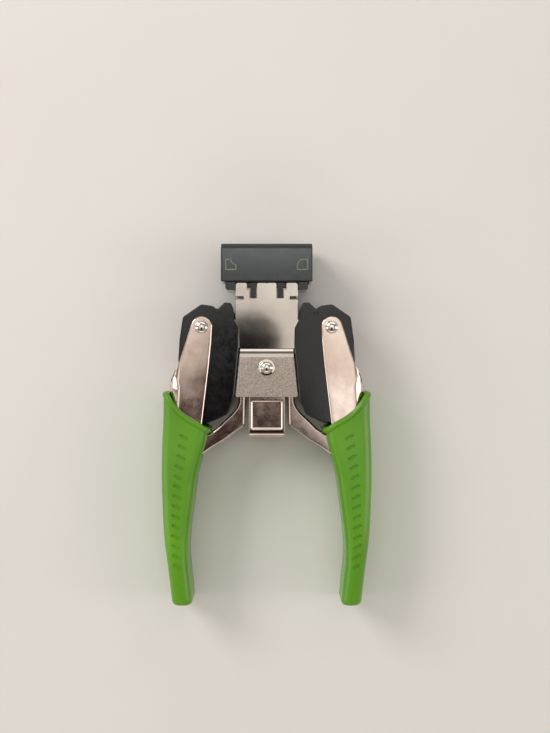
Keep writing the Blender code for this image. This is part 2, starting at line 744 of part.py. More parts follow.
def grip_loft(name, side, grow=0.0):
    """The grip's outer form, a loft through sections down its length."""
    length = (GRIP_LENGTH - 20.0 * MM) / (84.0 * MM)  # below Y = -3 the stations spread with the length
    end_y = COLLAR_TOP_Y - GRIP_LENGTH

    def down(y):
        return y * MM if y > -3 else -3 * MM + (y + 3) * MM * length

    full = GRIP_HALF
    stations = [
        (19.0, 49.7, 27.4, 0.6, 4.2),
        (3.0, 49.7, 27.6, 0.6, 4.2),
        (-8.0, 50.3, 29.2, 0.5, 4.2),
        (-17.0, 50.9, 32.0, 0.2, 4.4),
        (-26.0, 51.1, 34.2, 0.0, 4.6),
        (-43.0, 50.5, 36.3, 0.0, 4.8),
        (-53.0, 49.5, 37.6, 0.0, 4.6),
        (-60.0, 48.7, 38.0, 0.0, 4.4),
        (-67.0, 47.7, 37.9, 0.3, 4.2),
        (-76.0, 46.6, 36.8, 0.8, 4.2),
        (-83.5, 45.8, 35.9, 1.3, 4.2),
    ]
    rings = [
        ring(down(y), outer * MM + grow, inner * MM - grow, full - less * MM + grow, corner * MM)
        for y, outer, inner, less, corner in stations
    ]
    last = stations[-1]
    for share in (0.45, 0.8, 1.0):
        y = down(last[0]) + (end_y - down(last[0])) * share
        draw_in = (1 - math.sqrt(max(0.0, 1 - share * share))) * 2.6 * MM
        rings.append(
            ring(y, last[1] * MM - draw_in, last[2] * MM + draw_in, full - last[3] * MM - draw_in, 2.2 * MM)
        )
    bm = bmesh.new()
    loops = [[bm.verts.new((side * p.x, p.y, p.z)) for p in points] for points in rings]
    for above, below in zip(loops, loops[1:]):
        for k in range(len(above)):
            j = (k + 1) % len(above)
            bm.faces.new((above[k], above[j], below[j], below[k]))
    bm.faces.new(loops[0])
    bm.faces.new(loops[-1])
    bmesh.ops.recalc_face_normals(bm, faces=bm.faces)
    mesh = bpy.data.meshes.new(name)
    bm.to_mesh(mesh)
    bm.free()
    return new_object(name, mesh)


COLLAR_UPPER = in_mm([
    (52.0, 17.0),
    (48.9, 17.0),
    (47.7, 14.5),
    (45.3, 10.5),
    (41.9, 6.7),
    (37.5, 3.6),
    (32.7, 1.0),
    (30.3, -0.7),
    (27.0, -1.9),
    (24.0, -2.6),
])
COLLAR_BAND = 3.2 * MM


def grip(name, side, parent):
    """A moulded sleeve: a scooped collar with a rolled band, hollow at the top for the arm."""
    body = grip_loft(name, side)
    rim = [Vector(p) for p in COLLAR_UPPER]
    above = rim + [Vector((24 * MM, 30 * MM)), Vector((60 * MM, 30 * MM)), Vector((60 * MM, 17 * MM))]
    under = [Vector((p.x, p.y - COLLAR_BAND)) for p in reversed(rim)]
    band = grip_loft(f"{name}_band", side, 0.5 * MM)
    strip = prism(f"{name}_strip", mirrored(rim + under, side), -2 * GRIP_HALF, 2 * GRIP_HALF)
    combine(band, strip, "INTERSECT")
    scoop = prism(f"{name}_scoop", mirrored(above, side), -2 * GRIP_HALF, 2 * GRIP_HALF)
    cut(body, scoop)
    join(body, band)
    room = rounded(in_mm([
        (44.2, 30.0),
        (47.6, 18.6),
        (47.55, 8.0),
        (47.85, -8.0),
    ])) + [
        Vector((48.25 * MM, POCKET_END_Y)),
        Vector((36.4 * MM, POCKET_END_Y)),
        Vector((32.7 * MM, -12.0 * MM)),
        Vector((30.4 * MM, 0.0)),
        Vector((30.4 * MM, 30 * MM)),
    ]
    deep = FLANGE_OUT + GAP
    pocket = prism(f"{name}_pocket", mirrored(room, side), -deep, deep)
    window = in_mm([(24.0, -2.9), (28.0, -4.2), (38.0, -5.2), (38.0, -18.6), (34.0, -17.6), (27.0, -12.6), (24.0, -10.8)])
    arm_way = prism(f"{name}_arm_way", mirrored(window, side), -ARM_HALF - GAP, ARM_HALF + GAP)
    blade_room = [p for p in back_line(-GAP) if p.y < CHEEK_END_Y + MM]
    blade_room += [p for p in reversed(back_line(SHEET + GAP)) if p.y < CHEEK_END_Y + MM]
    for point in blade_room:
        point.y += GAP if point.y > CHEEK_END_Y - MM else 0.0
        point.y -= GAP if point.y < BLADE_END_Y + MM else 0.0
    blade = prism(f"{name}_blade_way", mirrored(blade_room, side), -deep, deep)
    cut(body, pocket, arm_way, blade)
    return finish(body, "#5C9418", 0.45, 0.0, parent)


# ---- The assembly ----


def build():
    clear_scene()
    frame_plate("front_frame_plate", FRONT)
    frame_plate("rear_frame_plate", REAR)
    bottom_bridge()
    rivet(
        "centre_rivet", 0.0, CENTRE_RIVET_Y, CENTRE_SHANK_R, CENTRE_DOME_R, LOWER_OUT + GAP,
        CENTRE_FLANGE_R, 0.5 * MM,
    )
    tube("centre_spacer", 0.0, CENTRE_RIVET_Y, CENTRE_SPACER_R, CENTRE_SHANK_R + GAP, CORE_HALF)
    head_cap()
    die_holder()
    die_plate()
    paper_stop()
    guide_plate()

    carrier = empty_at("punch_carrier_axis", 0.0, CARRIER_BOTTOM_Y)
    carrier_block(carrier)
    punch("stub_punch", LEFT, stub_outline(), carrier)
    punch("deco_punch", RIGHT, deco_outline(), carrier)

    for side, tag in ((LEFT, "left"), (RIGHT, "right")):
        punch_pin(f"{tag}_punch_pin", side, carrier)
        guide_pin(f"{tag}_guide_pin", side)
        return_spring(f"{tag}_return_spring", side)
        rivet(f"{tag}_pivot_rivet", side * PIVOT_X, PIVOT_Y, PIVOT_SHANK_R, PIVOT_DOME_R, DOME_BASE)
        tube(f"{tag}_pivot_spacer", side * PIVOT_X, PIVOT_Y, PIVOT_SPACER_R, PIVOT_HOLE_R, CORE_HALF)
        wing(f"{tag}_wing_front", side, FRONT)
        wing(f"{tag}_wing_rear", side, REAR)
        pivot = empty_at(f"{tag}_lever_axis", side * PIVOT_X, PIVOT_Y)
        lever_channel(f"{tag}_lever_channel", side, pivot)
        drive_arm(f"{tag}_drive_arm", side, pivot)
        for place, level in zip(ARM_PINS, ("upper", "lower")):
            arm_pin(f"{tag}_{level}_arm_pin", side, place, pivot)
        grip(f"{tag}_grip", side, pivot)


build()
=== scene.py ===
"""Looks of a hand-squeezed corner rounder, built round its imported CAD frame."""

import math

import bmesh
import bpy
import numpy as np
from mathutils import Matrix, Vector


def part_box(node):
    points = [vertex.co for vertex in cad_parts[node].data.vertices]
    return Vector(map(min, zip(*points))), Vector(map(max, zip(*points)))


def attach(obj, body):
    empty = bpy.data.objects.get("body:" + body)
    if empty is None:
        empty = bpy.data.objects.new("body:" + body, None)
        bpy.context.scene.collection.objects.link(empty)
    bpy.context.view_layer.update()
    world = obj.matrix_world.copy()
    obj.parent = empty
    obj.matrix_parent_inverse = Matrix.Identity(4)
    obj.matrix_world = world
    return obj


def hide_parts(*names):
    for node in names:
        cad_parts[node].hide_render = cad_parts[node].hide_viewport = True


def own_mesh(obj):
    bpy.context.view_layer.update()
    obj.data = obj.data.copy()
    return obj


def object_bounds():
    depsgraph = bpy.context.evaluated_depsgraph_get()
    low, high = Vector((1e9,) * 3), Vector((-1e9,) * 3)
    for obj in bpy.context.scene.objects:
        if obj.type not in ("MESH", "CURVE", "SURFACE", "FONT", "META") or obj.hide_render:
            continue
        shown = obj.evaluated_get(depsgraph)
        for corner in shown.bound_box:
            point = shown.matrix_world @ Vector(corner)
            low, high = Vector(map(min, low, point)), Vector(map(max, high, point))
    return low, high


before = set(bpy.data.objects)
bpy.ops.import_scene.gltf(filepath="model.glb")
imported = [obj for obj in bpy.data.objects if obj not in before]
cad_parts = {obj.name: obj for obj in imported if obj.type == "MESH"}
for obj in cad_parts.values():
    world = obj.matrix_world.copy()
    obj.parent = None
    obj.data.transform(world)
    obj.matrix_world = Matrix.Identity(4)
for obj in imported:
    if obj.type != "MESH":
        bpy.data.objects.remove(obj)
cad_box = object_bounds()

# ---- Camera, light and floor ----
# The tool lies on its back on a pale table and is seen from straight above. The key light stands
# at the upper left, a strip at each side, and two wide fills beyond the head and the foot.

low, high = cad_box
MIDDLE_Z = (low[2] + high[2]) / 2
VIEW_HEIGHT = 0.66  # camera over the tool's middle plane
VIEW_SPAN = 0.3595  # height of the view at the middle plane
VIEW_CENTRE = (0.0040, 0.0279)
SENSOR_MM = 36.0

camera_data = bpy.data.cameras.new("camera")
camera_data.sensor_width = SENSOR_MM
camera_data.lens = SENSOR_MM * VIEW_HEIGHT / VIEW_SPAN
camera = bpy.data.objects.new("camera", camera_data)
camera.location = (*VIEW_CENTRE, MIDDLE_Z + VIEW_HEIGHT)
bpy.context.scene.collection.objects.link(camera)
bpy.context.scene.camera = camera


def soft_light(name, place, size, power, colour):
    """An area light, size metres wide and deep, that faces the tool."""
    data = bpy.data.lights.new(name, "AREA")
    data.shape = "RECTANGLE"
    data.size, data.size_y = size
    data.energy = power
    data.color = colour
    light = bpy.data.objects.new(name, data)
    light.location = place
    light.rotation_euler = (-Vector(place)).to_track_quat("-Z", "Y").to_euler()
    bpy.context.scene.collection.objects.link(light)


soft_light("key", (-0.95, 0.75, 0.95), (0.65, 0.65), 9.5, (1.0, 0.98, 0.95))
soft_light("back_fill", (0.25, 1.25, 0.95), (1.6, 0.6), 3.6, (1.0, 0.99, 0.98))
soft_light("right_strip", (1.15, -0.05, 0.60), (0.4, 1.2), 3.4, (1.0, 0.98, 0.96))
soft_light("foot_fill", (0.0, -1.3, 0.80), (1.4, 0.5), 1.8, (1.0, 0.96, 0.93))
soft_light("left_strip", (-1.15, -0.15, 0.55), (0.3, 1.2), 2.0, (1.0, 0.98, 0.96))

bpy.context.scene.view_settings.view_transform = "Standard"


def srgb(hex_colour):
    """A hex colour as the linear colour that a shader takes."""
    values = [int(hex_colour[i : i + 2], 16) / 255 for i in (1, 3, 5)]
    return [v / 12.92 if v <= 0.04045 else ((v + 0.055) / 1.055) ** 2.4 for v in values] + [1.0]


def add_node(tree, kind, inputs=None, **settings):
    """Adds a node with its settings; an input is a value or another node's output."""
    node = tree.nodes.new(kind)
    for key, value in settings.items():
        setattr(node, key, value)
    for key, value in (inputs or {}).items():
        if isinstance(value, bpy.types.NodeSocket):
            tree.links.new(value, node.inputs[key])
        else:
            node.inputs[key].default_value = value
    return node


def new_material(name, **sockets):
    """A material whose Principled sockets hold these constants, and its node tree and shader."""
    material = bpy.data.materials.new(name)
    material.use_nodes = True
    tree = material.node_tree
    shader = tree.nodes["Principled BSDF"]
    for key, value in sockets.items():
        shader.inputs[key.replace("_", " ").title().replace("Ior", "IOR")].default_value = value
    return material, tree, shader


# The room is pale all round with a darker ring below the zenith, which draws the rounded edges of
# bright metal. Whoever looks down on the tool stands at its foot and is mirrored as dark patches,
# and pale ones lie to the right and past the head. Each is (middle, half-size, colour) on the
# plane z = 1, and fades from full to nothing over PATCH_EDGE, as shares of its half-size.
SKY = [(0.0, "#7C7570"), (0.30, "#D4CDC6"), (0.62, "#A59B93"), (0.85, "#77706A"), (0.93, "#FFFAF3")]
PATCHES = [
    ((-0.0235, -0.007), (0.0290, 0.047), (0.006, 0.006, 0.006, 1.0)),
    ((-0.0450, -0.144), (0.0850, 0.140), (0.050, 0.022, 0.016, 1.0)),
    ((0.0640, -0.040), (0.0300, 0.034), (1.5, 1.5, 1.5, 1.0)),
    ((-0.0100, -0.360), (0.2200, 0.300), (0.024, 0.016, 0.013, 1.0)),
    ((0.0000, 0.142), (0.1000, 0.066), (2.9, 3.0, 3.0, 1.0)),
]

PATCH_EDGE = (0.82, 1.12)
LOWEST_Z = 0.05  # keeps the plane's coordinates finite near the horizon

world = bpy.data.worlds.new("studio")
world.use_nodes = True
bpy.context.scene.world = world
room = world.node_tree
direction = add_node(room, "ShaderNodeTexCoord").outputs["Generated"]
height = add_node(room, "ShaderNodeSeparateXYZ", {0: direction}).outputs["Z"]
sky = add_node(room, "ShaderNodeValToRGB", {"Fac": height})
while len(sky.color_ramp.elements) < len(SKY):
    sky.color_ramp.elements.new(0.5)
for element, (stop, colour) in zip(sky.color_ramp.elements, SKY):
    element.position = stop
    element.color = srgb(colour)
above = add_node(room, "ShaderNodeMath", {0: height, 1: LOWEST_Z}, operation="MAXIMUM").outputs[0]
over = add_node(room, "ShaderNodeCombineXYZ", {"X": above, "Y": above, "Z": above}).outputs[0]
plane = add_node(room, "ShaderNodeVectorMath", {0: direction, 1: over}, operation="DIVIDE")
seen = sky.outputs["Color"]
for (u, v), (half_u, half_v), colour in PATCHES:
    away = add_node(
        room, "ShaderNodeVectorMath", {0: plane.outputs[0], 1: (u, v, 1.0)}, operation="SUBTRACT"
    )
    share = add_node(
        room,
        "ShaderNodeVectorMath",
        {0: away.outputs[0], 1: (half_u, half_v, 1.0)},
        operation="DIVIDE",
    )
    boxy = add_node(
        room,
        "ShaderNodeVectorMath",
        {0: share.outputs[0], 1: share.outputs[0]},
        operation="MULTIPLY",
    )
    radius = add_node(room, "ShaderNodeVectorMath", {0: boxy.outputs[0]}, operation="LENGTH")
    patch = add_node(
        room,
        "ShaderNodeMapRange",
        {
            "Value": radius.outputs["Value"],
            "From Min": PATCH_EDGE[1],
            "From Max": PATCH_EDGE[0],
        },
        interpolation_type="SMOOTHSTEP",
    )
    mix = add_node(
        room,
        "ShaderNodeMix",
        {0: patch.outputs["Result"], 6: seen, 7: colour},
        data_type="RGBA",
    )
    seen = mix.outputs[2]
room.links.new(seen, room.nodes["Background"].inputs["Color"])
room.nodes["Background"].inputs["Strength"].default_value = 1.0

TABLE_SIZE, TABLE_DROP = 6.0, 0.0004  # just under the tool's lowest face

bpy.ops.object.select_all(action="DESELECT")
bpy.ops.mesh.primitive_plane_add(size=TABLE_SIZE, location=(0, 0, -TABLE_DROP))
floor = bpy.context.object
floor.name = "floor"
# Matt painted board: a plain off-white with a faint mottle about 0.1 m across.
painted_board, tree, shader = new_material("painted_board", roughness=0.75)
place = add_node(tree, "ShaderNodeTexCoord").outputs["Object"]
mottle = add_node(tree, "ShaderNodeTexNoise", {"Vector": place, "Scale": 9.0, "Detail": 4.0})
tone = add_node(tree, "ShaderNodeValToRGB", {"Fac": mottle.outputs["Fac"]})
tone.color_ramp.elements[0].color = srgb("#E3E0DD")
tone.color_ramp.elements[1].color = srgb("#EAE8E5")
tree.links.new(tone.outputs["Color"], shader.inputs["Base Color"])
floor.data.materials.append(painted_board)

# ---- The frame plates ----
# Two stamped plates of 1.5 mm nickel-plated steel carry everything else. Their upper parts are
# smooth and bright, and below the joggle each is blasted to an even grain.

MM = 0.001
JOGGLE_END_Y = 32.4 * MM
FLAT_WITHIN = math.radians(0.6)  # facets closer than this are one face
ROUND_WITHIN = math.radians(35)  # and closer than this they shade as one surface


def only(piece):
    """Selects this piece alone and makes it active."""
    bpy.ops.object.select_all(action="DESELECT")
    piece.select_set(True)
    bpy.context.view_layer.objects.active = piece


def select_edges(wanted):
    """In edit mode, selects just the edges for which wanted(edge) holds."""
    piece = bpy.context.object
    bpy.ops.mesh.select_mode(type="EDGE")
    bpy.ops.mesh.select_all(action="DESELECT")
    mesh = bmesh.from_edit_mesh(piece.data)
    mesh.normal_update()
    for edge in mesh.edges:
        edge.select_set(len(edge.link_faces) == 2 and wanted(edge))
    bmesh.update_edit_mesh(piece.data)


def cad_copy(node, name):
    """A new piece from a CAD node's solid, its facets merged back into whole faces."""
    piece = bpy.data.objects.new(name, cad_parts[node].data.copy())
    bpy.context.scene.collection.objects.link(piece)
    only(piece)
    bpy.ops.object.mode_set(mode="EDIT")
    bpy.ops.mesh.select_all(action="SELECT")
    bpy.ops.mesh.remove_doubles(threshold=0.004 * MM)
    bpy.ops.mesh.dissolve_limited(angle_limit=FLAT_WITHIN)
    bpy.ops.object.mode_set(mode="OBJECT")
    piece.data.materials.clear()
    return piece


def apply_modifiers(piece):
    """Applies the piece's modifiers in their order."""
    only(piece)
    for modifier in list(piece.modifiers):
        bpy.ops.object.modifier_apply(modifier=modifier.name)


def round_edges(piece, width, segments=3, angle=28):
    """Rounds every edge sharper than the angle in degrees, then shades the faces smooth."""
    modifier = piece.modifiers.new("edges", "BEVEL")
    modifier.width = width
    modifier.segments = segments
    modifier.limit_method = "ANGLE"
    modifier.angle_limit = math.radians(angle)
    modifier.miter_outer = "MITER_ARC"
    apply_modifiers(piece)
    bpy.ops.object.shade_smooth_by_angle(angle=ROUND_WITHIN)
    flatten = piece.modifiers.new("flat_faces_stay_flat", "WEIGHTED_NORMAL")
    flatten.keep_sharp = True
    apply_modifiers(piece)


def fit(piece, material, body, slot, *nodes):
    """Gives a finished piece its material and body, and lets it stand for its CAD nodes. The slot
    is not used.
    """
    piece.data.materials.clear()
    piece.data.materials.append(material)
    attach(piece, body)
    if nodes:
        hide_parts(*nodes)


def softened(node, material, body, width, segments=2):
    """A CAD node's solid with its edges rounded as tumbling and plating leave them."""
    piece = cad_copy(node, node + "_piece")
    round_edges(piece, width, segments)
    fit(piece, material, body, node, node)


def plated_sheet():
    """Nickel plate: bright with 14 mm clouds above the joggle, an even blasted grain below it."""
    material, tree, shader = new_material("nickel_plated_sheet", metallic=1.0)
    place = add_node(tree, "ShaderNodeTexCoord").outputs["Object"]
    along = add_node(tree, "ShaderNodeSeparateXYZ", {0: place})
    masked_edge = (0.6 * MM, 0.2 * MM)  # how far the blasting fades past the joggle and before it
    blasted = add_node(
        tree,
        "ShaderNodeMapRange",
        {
            "Value": along.outputs["Y"],
            "From Min": JOGGLE_END_Y + masked_edge[0],
            "From Max": JOGGLE_END_Y - masked_edge[1],
        },
    ).outputs["Result"]
    cloud = add_node(tree, "ShaderNodeTexNoise", {"Vector": place, "Scale": 70.0, "Detail": 5.0})
    smooth = add_node(tree, "ShaderNodeValToRGB", {"Fac": cloud.outputs["Fac"]})
    smooth.color_ramp.elements[0].position = 0.3
    smooth.color_ramp.elements[0].color = srgb("#C3BBB2")
    smooth.color_ramp.elements[1].position = 0.75
    smooth.color_ramp.elements[1].color = srgb("#D8D1C8")
    # The real grain is about 0.1 mm. It is drawn as 0.6 mm, so that it shows from a distance.
    grit = add_node(
        tree,
        "ShaderNodeTexNoise",
        {"Vector": place, "Scale": 1 / (0.6 * MM), "Detail": 6.0, "Roughness": 0.7},
    )
    grey = add_node(tree, "ShaderNodeValToRGB", {"Fac": grit.outputs["Fac"]})
    grey.color_ramp.elements[0].position = 0.36
    grey.color_ramp.elements[0].color = srgb("#94877E")
    grey.color_ramp.elements[1].position = 0.66
    grey.color_ramp.elements[1].color = srgb("#D2C5BB")
    colour = add_node(
        tree,
        "ShaderNodeMix",
        {0: blasted, 6: smooth.outputs["Color"], 7: grey.outputs["Color"]},
        data_type="RGBA",
    )
    tree.links.new(colour.outputs[2], shader.inputs["Base Color"])
    dull = add_node(
        tree,
        "ShaderNodeMapRange",
        {"Value": blasted, "To Min": 0.03, "To Max": 0.45},
    )
    haze = add_node(
        tree,
        "ShaderNodeMath",
        {0: cloud.outputs["Fac"], 1: 0.04, 2: dull.outputs["Result"]},
        operation="MULTIPLY_ADD",
    )
    tree.links.new(haze.outputs[0], shader.inputs["Roughness"])
    # Rolled sheet is never quite flat: the ripples are about 22 mm apart.
    ripple = add_node(tree, "ShaderNodeTexNoise", {"Vector": place, "Scale": 45.0, "Detail": 2.0})
    wave = add_node(
        tree,
        "ShaderNodeBump",
        {"Height": ripple.outputs["Fac"], "Strength": 0.05, "Distance": 0.3 * MM},
    )
    pitted = add_node(
        tree, "ShaderNodeMath", {0: grit.outputs["Fac"], 1: blasted}, operation="MULTIPLY"
    )
    grain = add_node(
        tree,
        "ShaderNodeBump",
        {
            "Height": pitted.outputs[0],
            "Strength": 0.75,
            "Distance": 0.12 * MM,
            "Normal": wave.outputs["Normal"],
        },
    )
    tree.links.new(grain.outputs["Normal"], shader.inputs["Normal"])
    return material


NICKEL_SHEET = plated_sheet()
for node in ("front_frame_plate", "rear_frame_plate"):
    softened(node, NICKEL_SHEET, "frame", 0.28 * MM, 3)

# ---- The bottom bridge ----
# A strap of bright nickel-plated spring steel, bent into a U round the bottom of the frame. Its
# visible face is pressed in a little inside a rounded border.


def bright_plating(name, light_hex, dark_hex, least_roughness):
    """Bright plating over pressed steel: mirror-like, with ripples and a tint that turn over about
    17 mm and 6 mm smears from handling."""
    material, tree, shader = new_material(name, metallic=1.0)
    place = add_node(tree, "ShaderNodeTexCoord").outputs["Object"]
    tint = add_node(tree, "ShaderNodeTexNoise", {"Vector": place, "Scale": 55.0, "Detail": 3.0})
    colour = add_node(tree, "ShaderNodeValToRGB", {"Fac": tint.outputs["Fac"]})
    colour.color_ramp.elements[0].position = 0.3
    colour.color_ramp.elements[0].color = srgb(dark_hex)
    colour.color_ramp.elements[1].position = 0.7
    colour.color_ramp.elements[1].color = srgb(light_hex)
    tree.links.new(colour.outputs["Color"], shader.inputs["Base Color"])
    smears = add_node(
        tree,
        "ShaderNodeTexNoise",
        {"Vector": place, "Scale": 160.0, "Detail": 7.0, "Roughness": 0.65},
    )
    haze = add_node(
        tree,
        "ShaderNodeMapRange",
        {
            "Value": smears.outputs["Fac"],
            "From Min": 0.35,
            "From Max": 0.8,
            "To Min": least_roughness,
            "To Max": least_roughness + 0.09,
        },
    )
    tree.links.new(haze.outputs["Result"], shader.inputs["Roughness"])
    ripple = add_node(tree, "ShaderNodeTexNoise", {"Vector": place, "Scale": 60.0, "Detail": 1.5})
    bump = add_node(
        tree,
        "ShaderNodeBump",
        {"Height": ripple.outputs["Fac"], "Strength": 0.08, "Distance": 0.5 * MM},
    )
    tree.links.new(bump.outputs["Normal"], shader.inputs["Normal"])
    return material


BRIGHT_PLATE = bright_plating("bright_plated_steel", "#E2D3C8", "#CDBBAE", 0.07)

PRESSED_TOP_Y = 12.4 * MM
BORDER, STEP_WIDTH, STEP_DEPTH = 1.1 * MM, 0.45 * MM, 0.4 * MM

bridge = cad_copy("bottom_bridge", "bottom_bridge_strap")
bridge_low, bridge_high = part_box("bottom_bridge")
bpy.ops.object.mode_set(mode="EDIT")
bpy.ops.mesh.select_all(action="SELECT")
bpy.ops.mesh.bisect(plane_co=(0, PRESSED_TOP_Y, 0), plane_no=(0, 1, 0))
for face_z, turn in ((bridge_high.z, 1), (bridge_low.z, -1)):
    bpy.ops.mesh.select_mode(type="FACE")
    bpy.ops.mesh.select_all(action="DESELECT")
    mesh = bmesh.from_edit_mesh(bridge.data)
    mesh.normal_update()
    for face in mesh.faces:
        middle = face.calc_center_median()
        flat = face.normal.z * turn > 0.99 and abs(middle.z - face_z) < 0.1 * MM
        face.select_set(flat and middle.y < PRESSED_TOP_Y)
    bmesh.update_edit_mesh(bridge.data)
    bpy.ops.mesh.inset(thickness=BORDER, depth=0.0)
    bpy.ops.mesh.inset(thickness=STEP_WIDTH, depth=-STEP_DEPTH)
bpy.ops.object.mode_set(mode="OBJECT")
round_edges(bridge, 0.35 * MM, 4)
fit(bridge, BRIGHT_PLATE, "frame", "bottom_bridge", "bottom_bridge")

# ---- Rivets ----
# Solid rivets of bright-plated steel with domed heads. The centre one is set in a flat ring. A
# head is turned as half a sphere, flattened, and its rim is drawn in to the shank.

BRIGHT_RIVET = bright_plating("bright_plated_rivet", "#EDE6DE", "#D9D0C7", 0.05)
CENTRE_BASE, CENTRE_DOME_R, CENTRE_SHANK_R = 12.1 * MM, 2.9 * MM, 1.9 * MM
CENTRE_RING_R, CENTRE_RING_HEIGHT = 4.0 * MM, 0.5 * MM
PIVOT_BASE, PIVOT_DOME_R, PIVOT_SHANK_R = 14.9 * MM, 3.1 * MM, 2.3 * MM


def rivet(node, foot, dome_radius, shank_radius, ring=None):
    """Both heads and the shank in one piece. foot is where a head starts, from the middle plane,
    and ring is the flange's (radius, thickness)."""
    lowest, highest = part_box(node)
    x, y = (lowest.x + highest.x) / 2, (lowest.y + highest.y) / 2
    crown = (highest.z - lowest.z) / 2
    ring_height = ring[1] if ring else 0.0
    base = foot + ring_height
    bpy.ops.object.select_all(action="DESELECT")
    bpy.ops.mesh.primitive_uv_sphere_add(
        segments=48, ring_count=32, radius=dome_radius, location=(0, 0, 0)
    )
    head = bpy.context.object
    head.name = node + "_set"
    bpy.ops.object.mode_set(mode="EDIT")
    bpy.ops.mesh.select_all(action="SELECT")
    bpy.ops.mesh.bisect(plane_co=(0, 0, 0), plane_no=(0, 0, 1), clear_inner=True)
    bpy.ops.mesh.select_all(action="SELECT")
    flatten = (crown - base) / dome_radius
    bpy.ops.transform.resize(value=(1, 1, flatten), center_override=(0, 0, 0))
    bpy.ops.transform.translate(value=(0, 0, base))
    bpy.ops.mesh.select_all(action="DESELECT")
    bpy.ops.mesh.select_mode(type="EDGE")
    bpy.ops.mesh.select_non_manifold()
    steps = [(ring[0] / dome_radius, 0.0), (1.0, -ring_height)] if ring else []
    steps.append((shank_radius / (ring[0] if ring else dome_radius), 0.0))
    steps.append((1.0, -foot))
    for spread, drop in steps:
        bpy.ops.mesh.extrude_edges_move(TRANSFORM_OT_translate={"value": (0, 0, drop)})
        bpy.ops.transform.resize(value=(spread, spread, 1), center_override=(0, 0, 0))
    bpy.ops.object.mode_set(mode="OBJECT")
    mirror = head.modifiers.new("both_ends", "MIRROR")
    mirror.use_axis = (False, False, True)
    mirror.merge_threshold = 0.02 * MM
    apply_modifiers(head)
    bpy.ops.object.mode_set(mode="EDIT")
    bpy.ops.mesh.select_all(action="SELECT")
    bpy.ops.mesh.remove_doubles(threshold=0.01 * MM)
    bpy.ops.mesh.normals_make_consistent(inside=False)
    bpy.ops.transform.translate(value=(x, y, MIDDLE_Z))
    bpy.ops.object.mode_set(mode="OBJECT")
    round_edges(head, 0.18 * MM, 3, 40)
    fit(head, BRIGHT_RIVET, "frame", node, node)


centre_ring = (CENTRE_RING_R, CENTRE_RING_HEIGHT)
rivet("centre_rivet", CENTRE_BASE, CENTRE_DOME_R, CENTRE_SHANK_R, centre_ring)
for side in ("left", "right"):
    rivet(f"{side}_pivot_rivet", PIVOT_BASE, PIVOT_DOME_R, PIVOT_SHANK_R)

# ---- Inner steel pieces ----
# Spacers, guide plate, die, paper stop, carrier, punches and pins are machined and ground tool
# steel. Grinding leaves fine parallel lines, and oil leaves faint clouds.


def ground_steel():
    """Ground steel: a dull sheen drawn out along the grinding lines, with 8 mm clouds of oil."""
    material, tree, shader = new_material("ground_tool_steel", metallic=1.0)
    place = add_node(tree, "ShaderNodeTexCoord").outputs["Object"]
    # Grinding lines about 0.2 mm apart that run along X.
    stretch = add_node(
        tree, "ShaderNodeMapping", {"Vector": place, "Scale": (60.0, 5000.0, 5000.0)}
    )
    lines = add_node(
        tree, "ShaderNodeTexNoise", {"Vector": stretch.outputs[0], "Scale": 1.0, "Detail": 3.0}
    )
    cloud = add_node(tree, "ShaderNodeTexNoise", {"Vector": place, "Scale": 130.0, "Detail": 4.0})
    colour = add_node(tree, "ShaderNodeValToRGB", {"Fac": cloud.outputs["Fac"]})
    colour.color_ramp.elements[0].color = srgb("#8E8B88")
    colour.color_ramp.elements[1].color = srgb("#BDB9B5")
    tree.links.new(colour.outputs["Color"], shader.inputs["Base Color"])
    rough = add_node(
        tree, "ShaderNodeMapRange", {"Value": lines.outputs["Fac"], "To Min": 0.22, "To Max": 0.42}
    )
    tree.links.new(rough.outputs["Result"], shader.inputs["Roughness"])
    bump = add_node(
        tree,
        "ShaderNodeBump",
        {"Height": lines.outputs["Fac"], "Strength": 0.25, "Distance": 0.03 * MM},
    )
    tree.links.new(bump.outputs["Normal"], shader.inputs["Normal"])
    return material


GROUND_STEEL = ground_steel()
GROUND_EDGE_R = 0.12 * MM
FRAME_STEEL = ["centre_spacer", "die_plate", "paper_stop", "guide_plate"]
for side in ("left", "right"):
    FRAME_STEEL += [f"{side}_guide_pin", f"{side}_pivot_spacer"]
CARRIER_STEEL = ["carrier_block", "stub_punch", "deco_punch", "left_punch_pin", "right_punch_pin"]
for node in FRAME_STEEL:
    softened(node, GROUND_STEEL, "frame", GROUND_EDGE_R)
for node in CARRIER_STEEL:
    softened(node, GROUND_STEEL, "punch_carrier", GROUND_EDGE_R)

# ---- Return springs ----
# Each is a coil of hard-drawn wire round a guide pin, between the carrier and the guide plate. It
# closes by the carrier's travel when the levers are squeezed.

SPRING_TURNS, SPRING_WIRE_R = 5, 0.3 * MM
POINTS_PER_TURN = 36
WIRE_STEEL = bright_plating("hard_drawn_wire", "#A7A4A0", "#83807C", 0.22)


def solid_from(curve, name, merge):
    """Turns a curve into a closed mesh piece whose doubles are merged, with its faces outwards."""
    drawn = bpy.data.objects.new(name, curve)
    bpy.context.scene.collection.objects.link(drawn)
    only(drawn)
    bpy.ops.object.convert(target="MESH")
    bpy.ops.object.mode_set(mode="EDIT")
    bpy.ops.mesh.select_all(action="SELECT")
    bpy.ops.mesh.remove_doubles(threshold=merge)
    bpy.ops.mesh.normals_make_consistent(inside=False)
    bpy.ops.object.mode_set(mode="OBJECT")
    return bpy.context.object


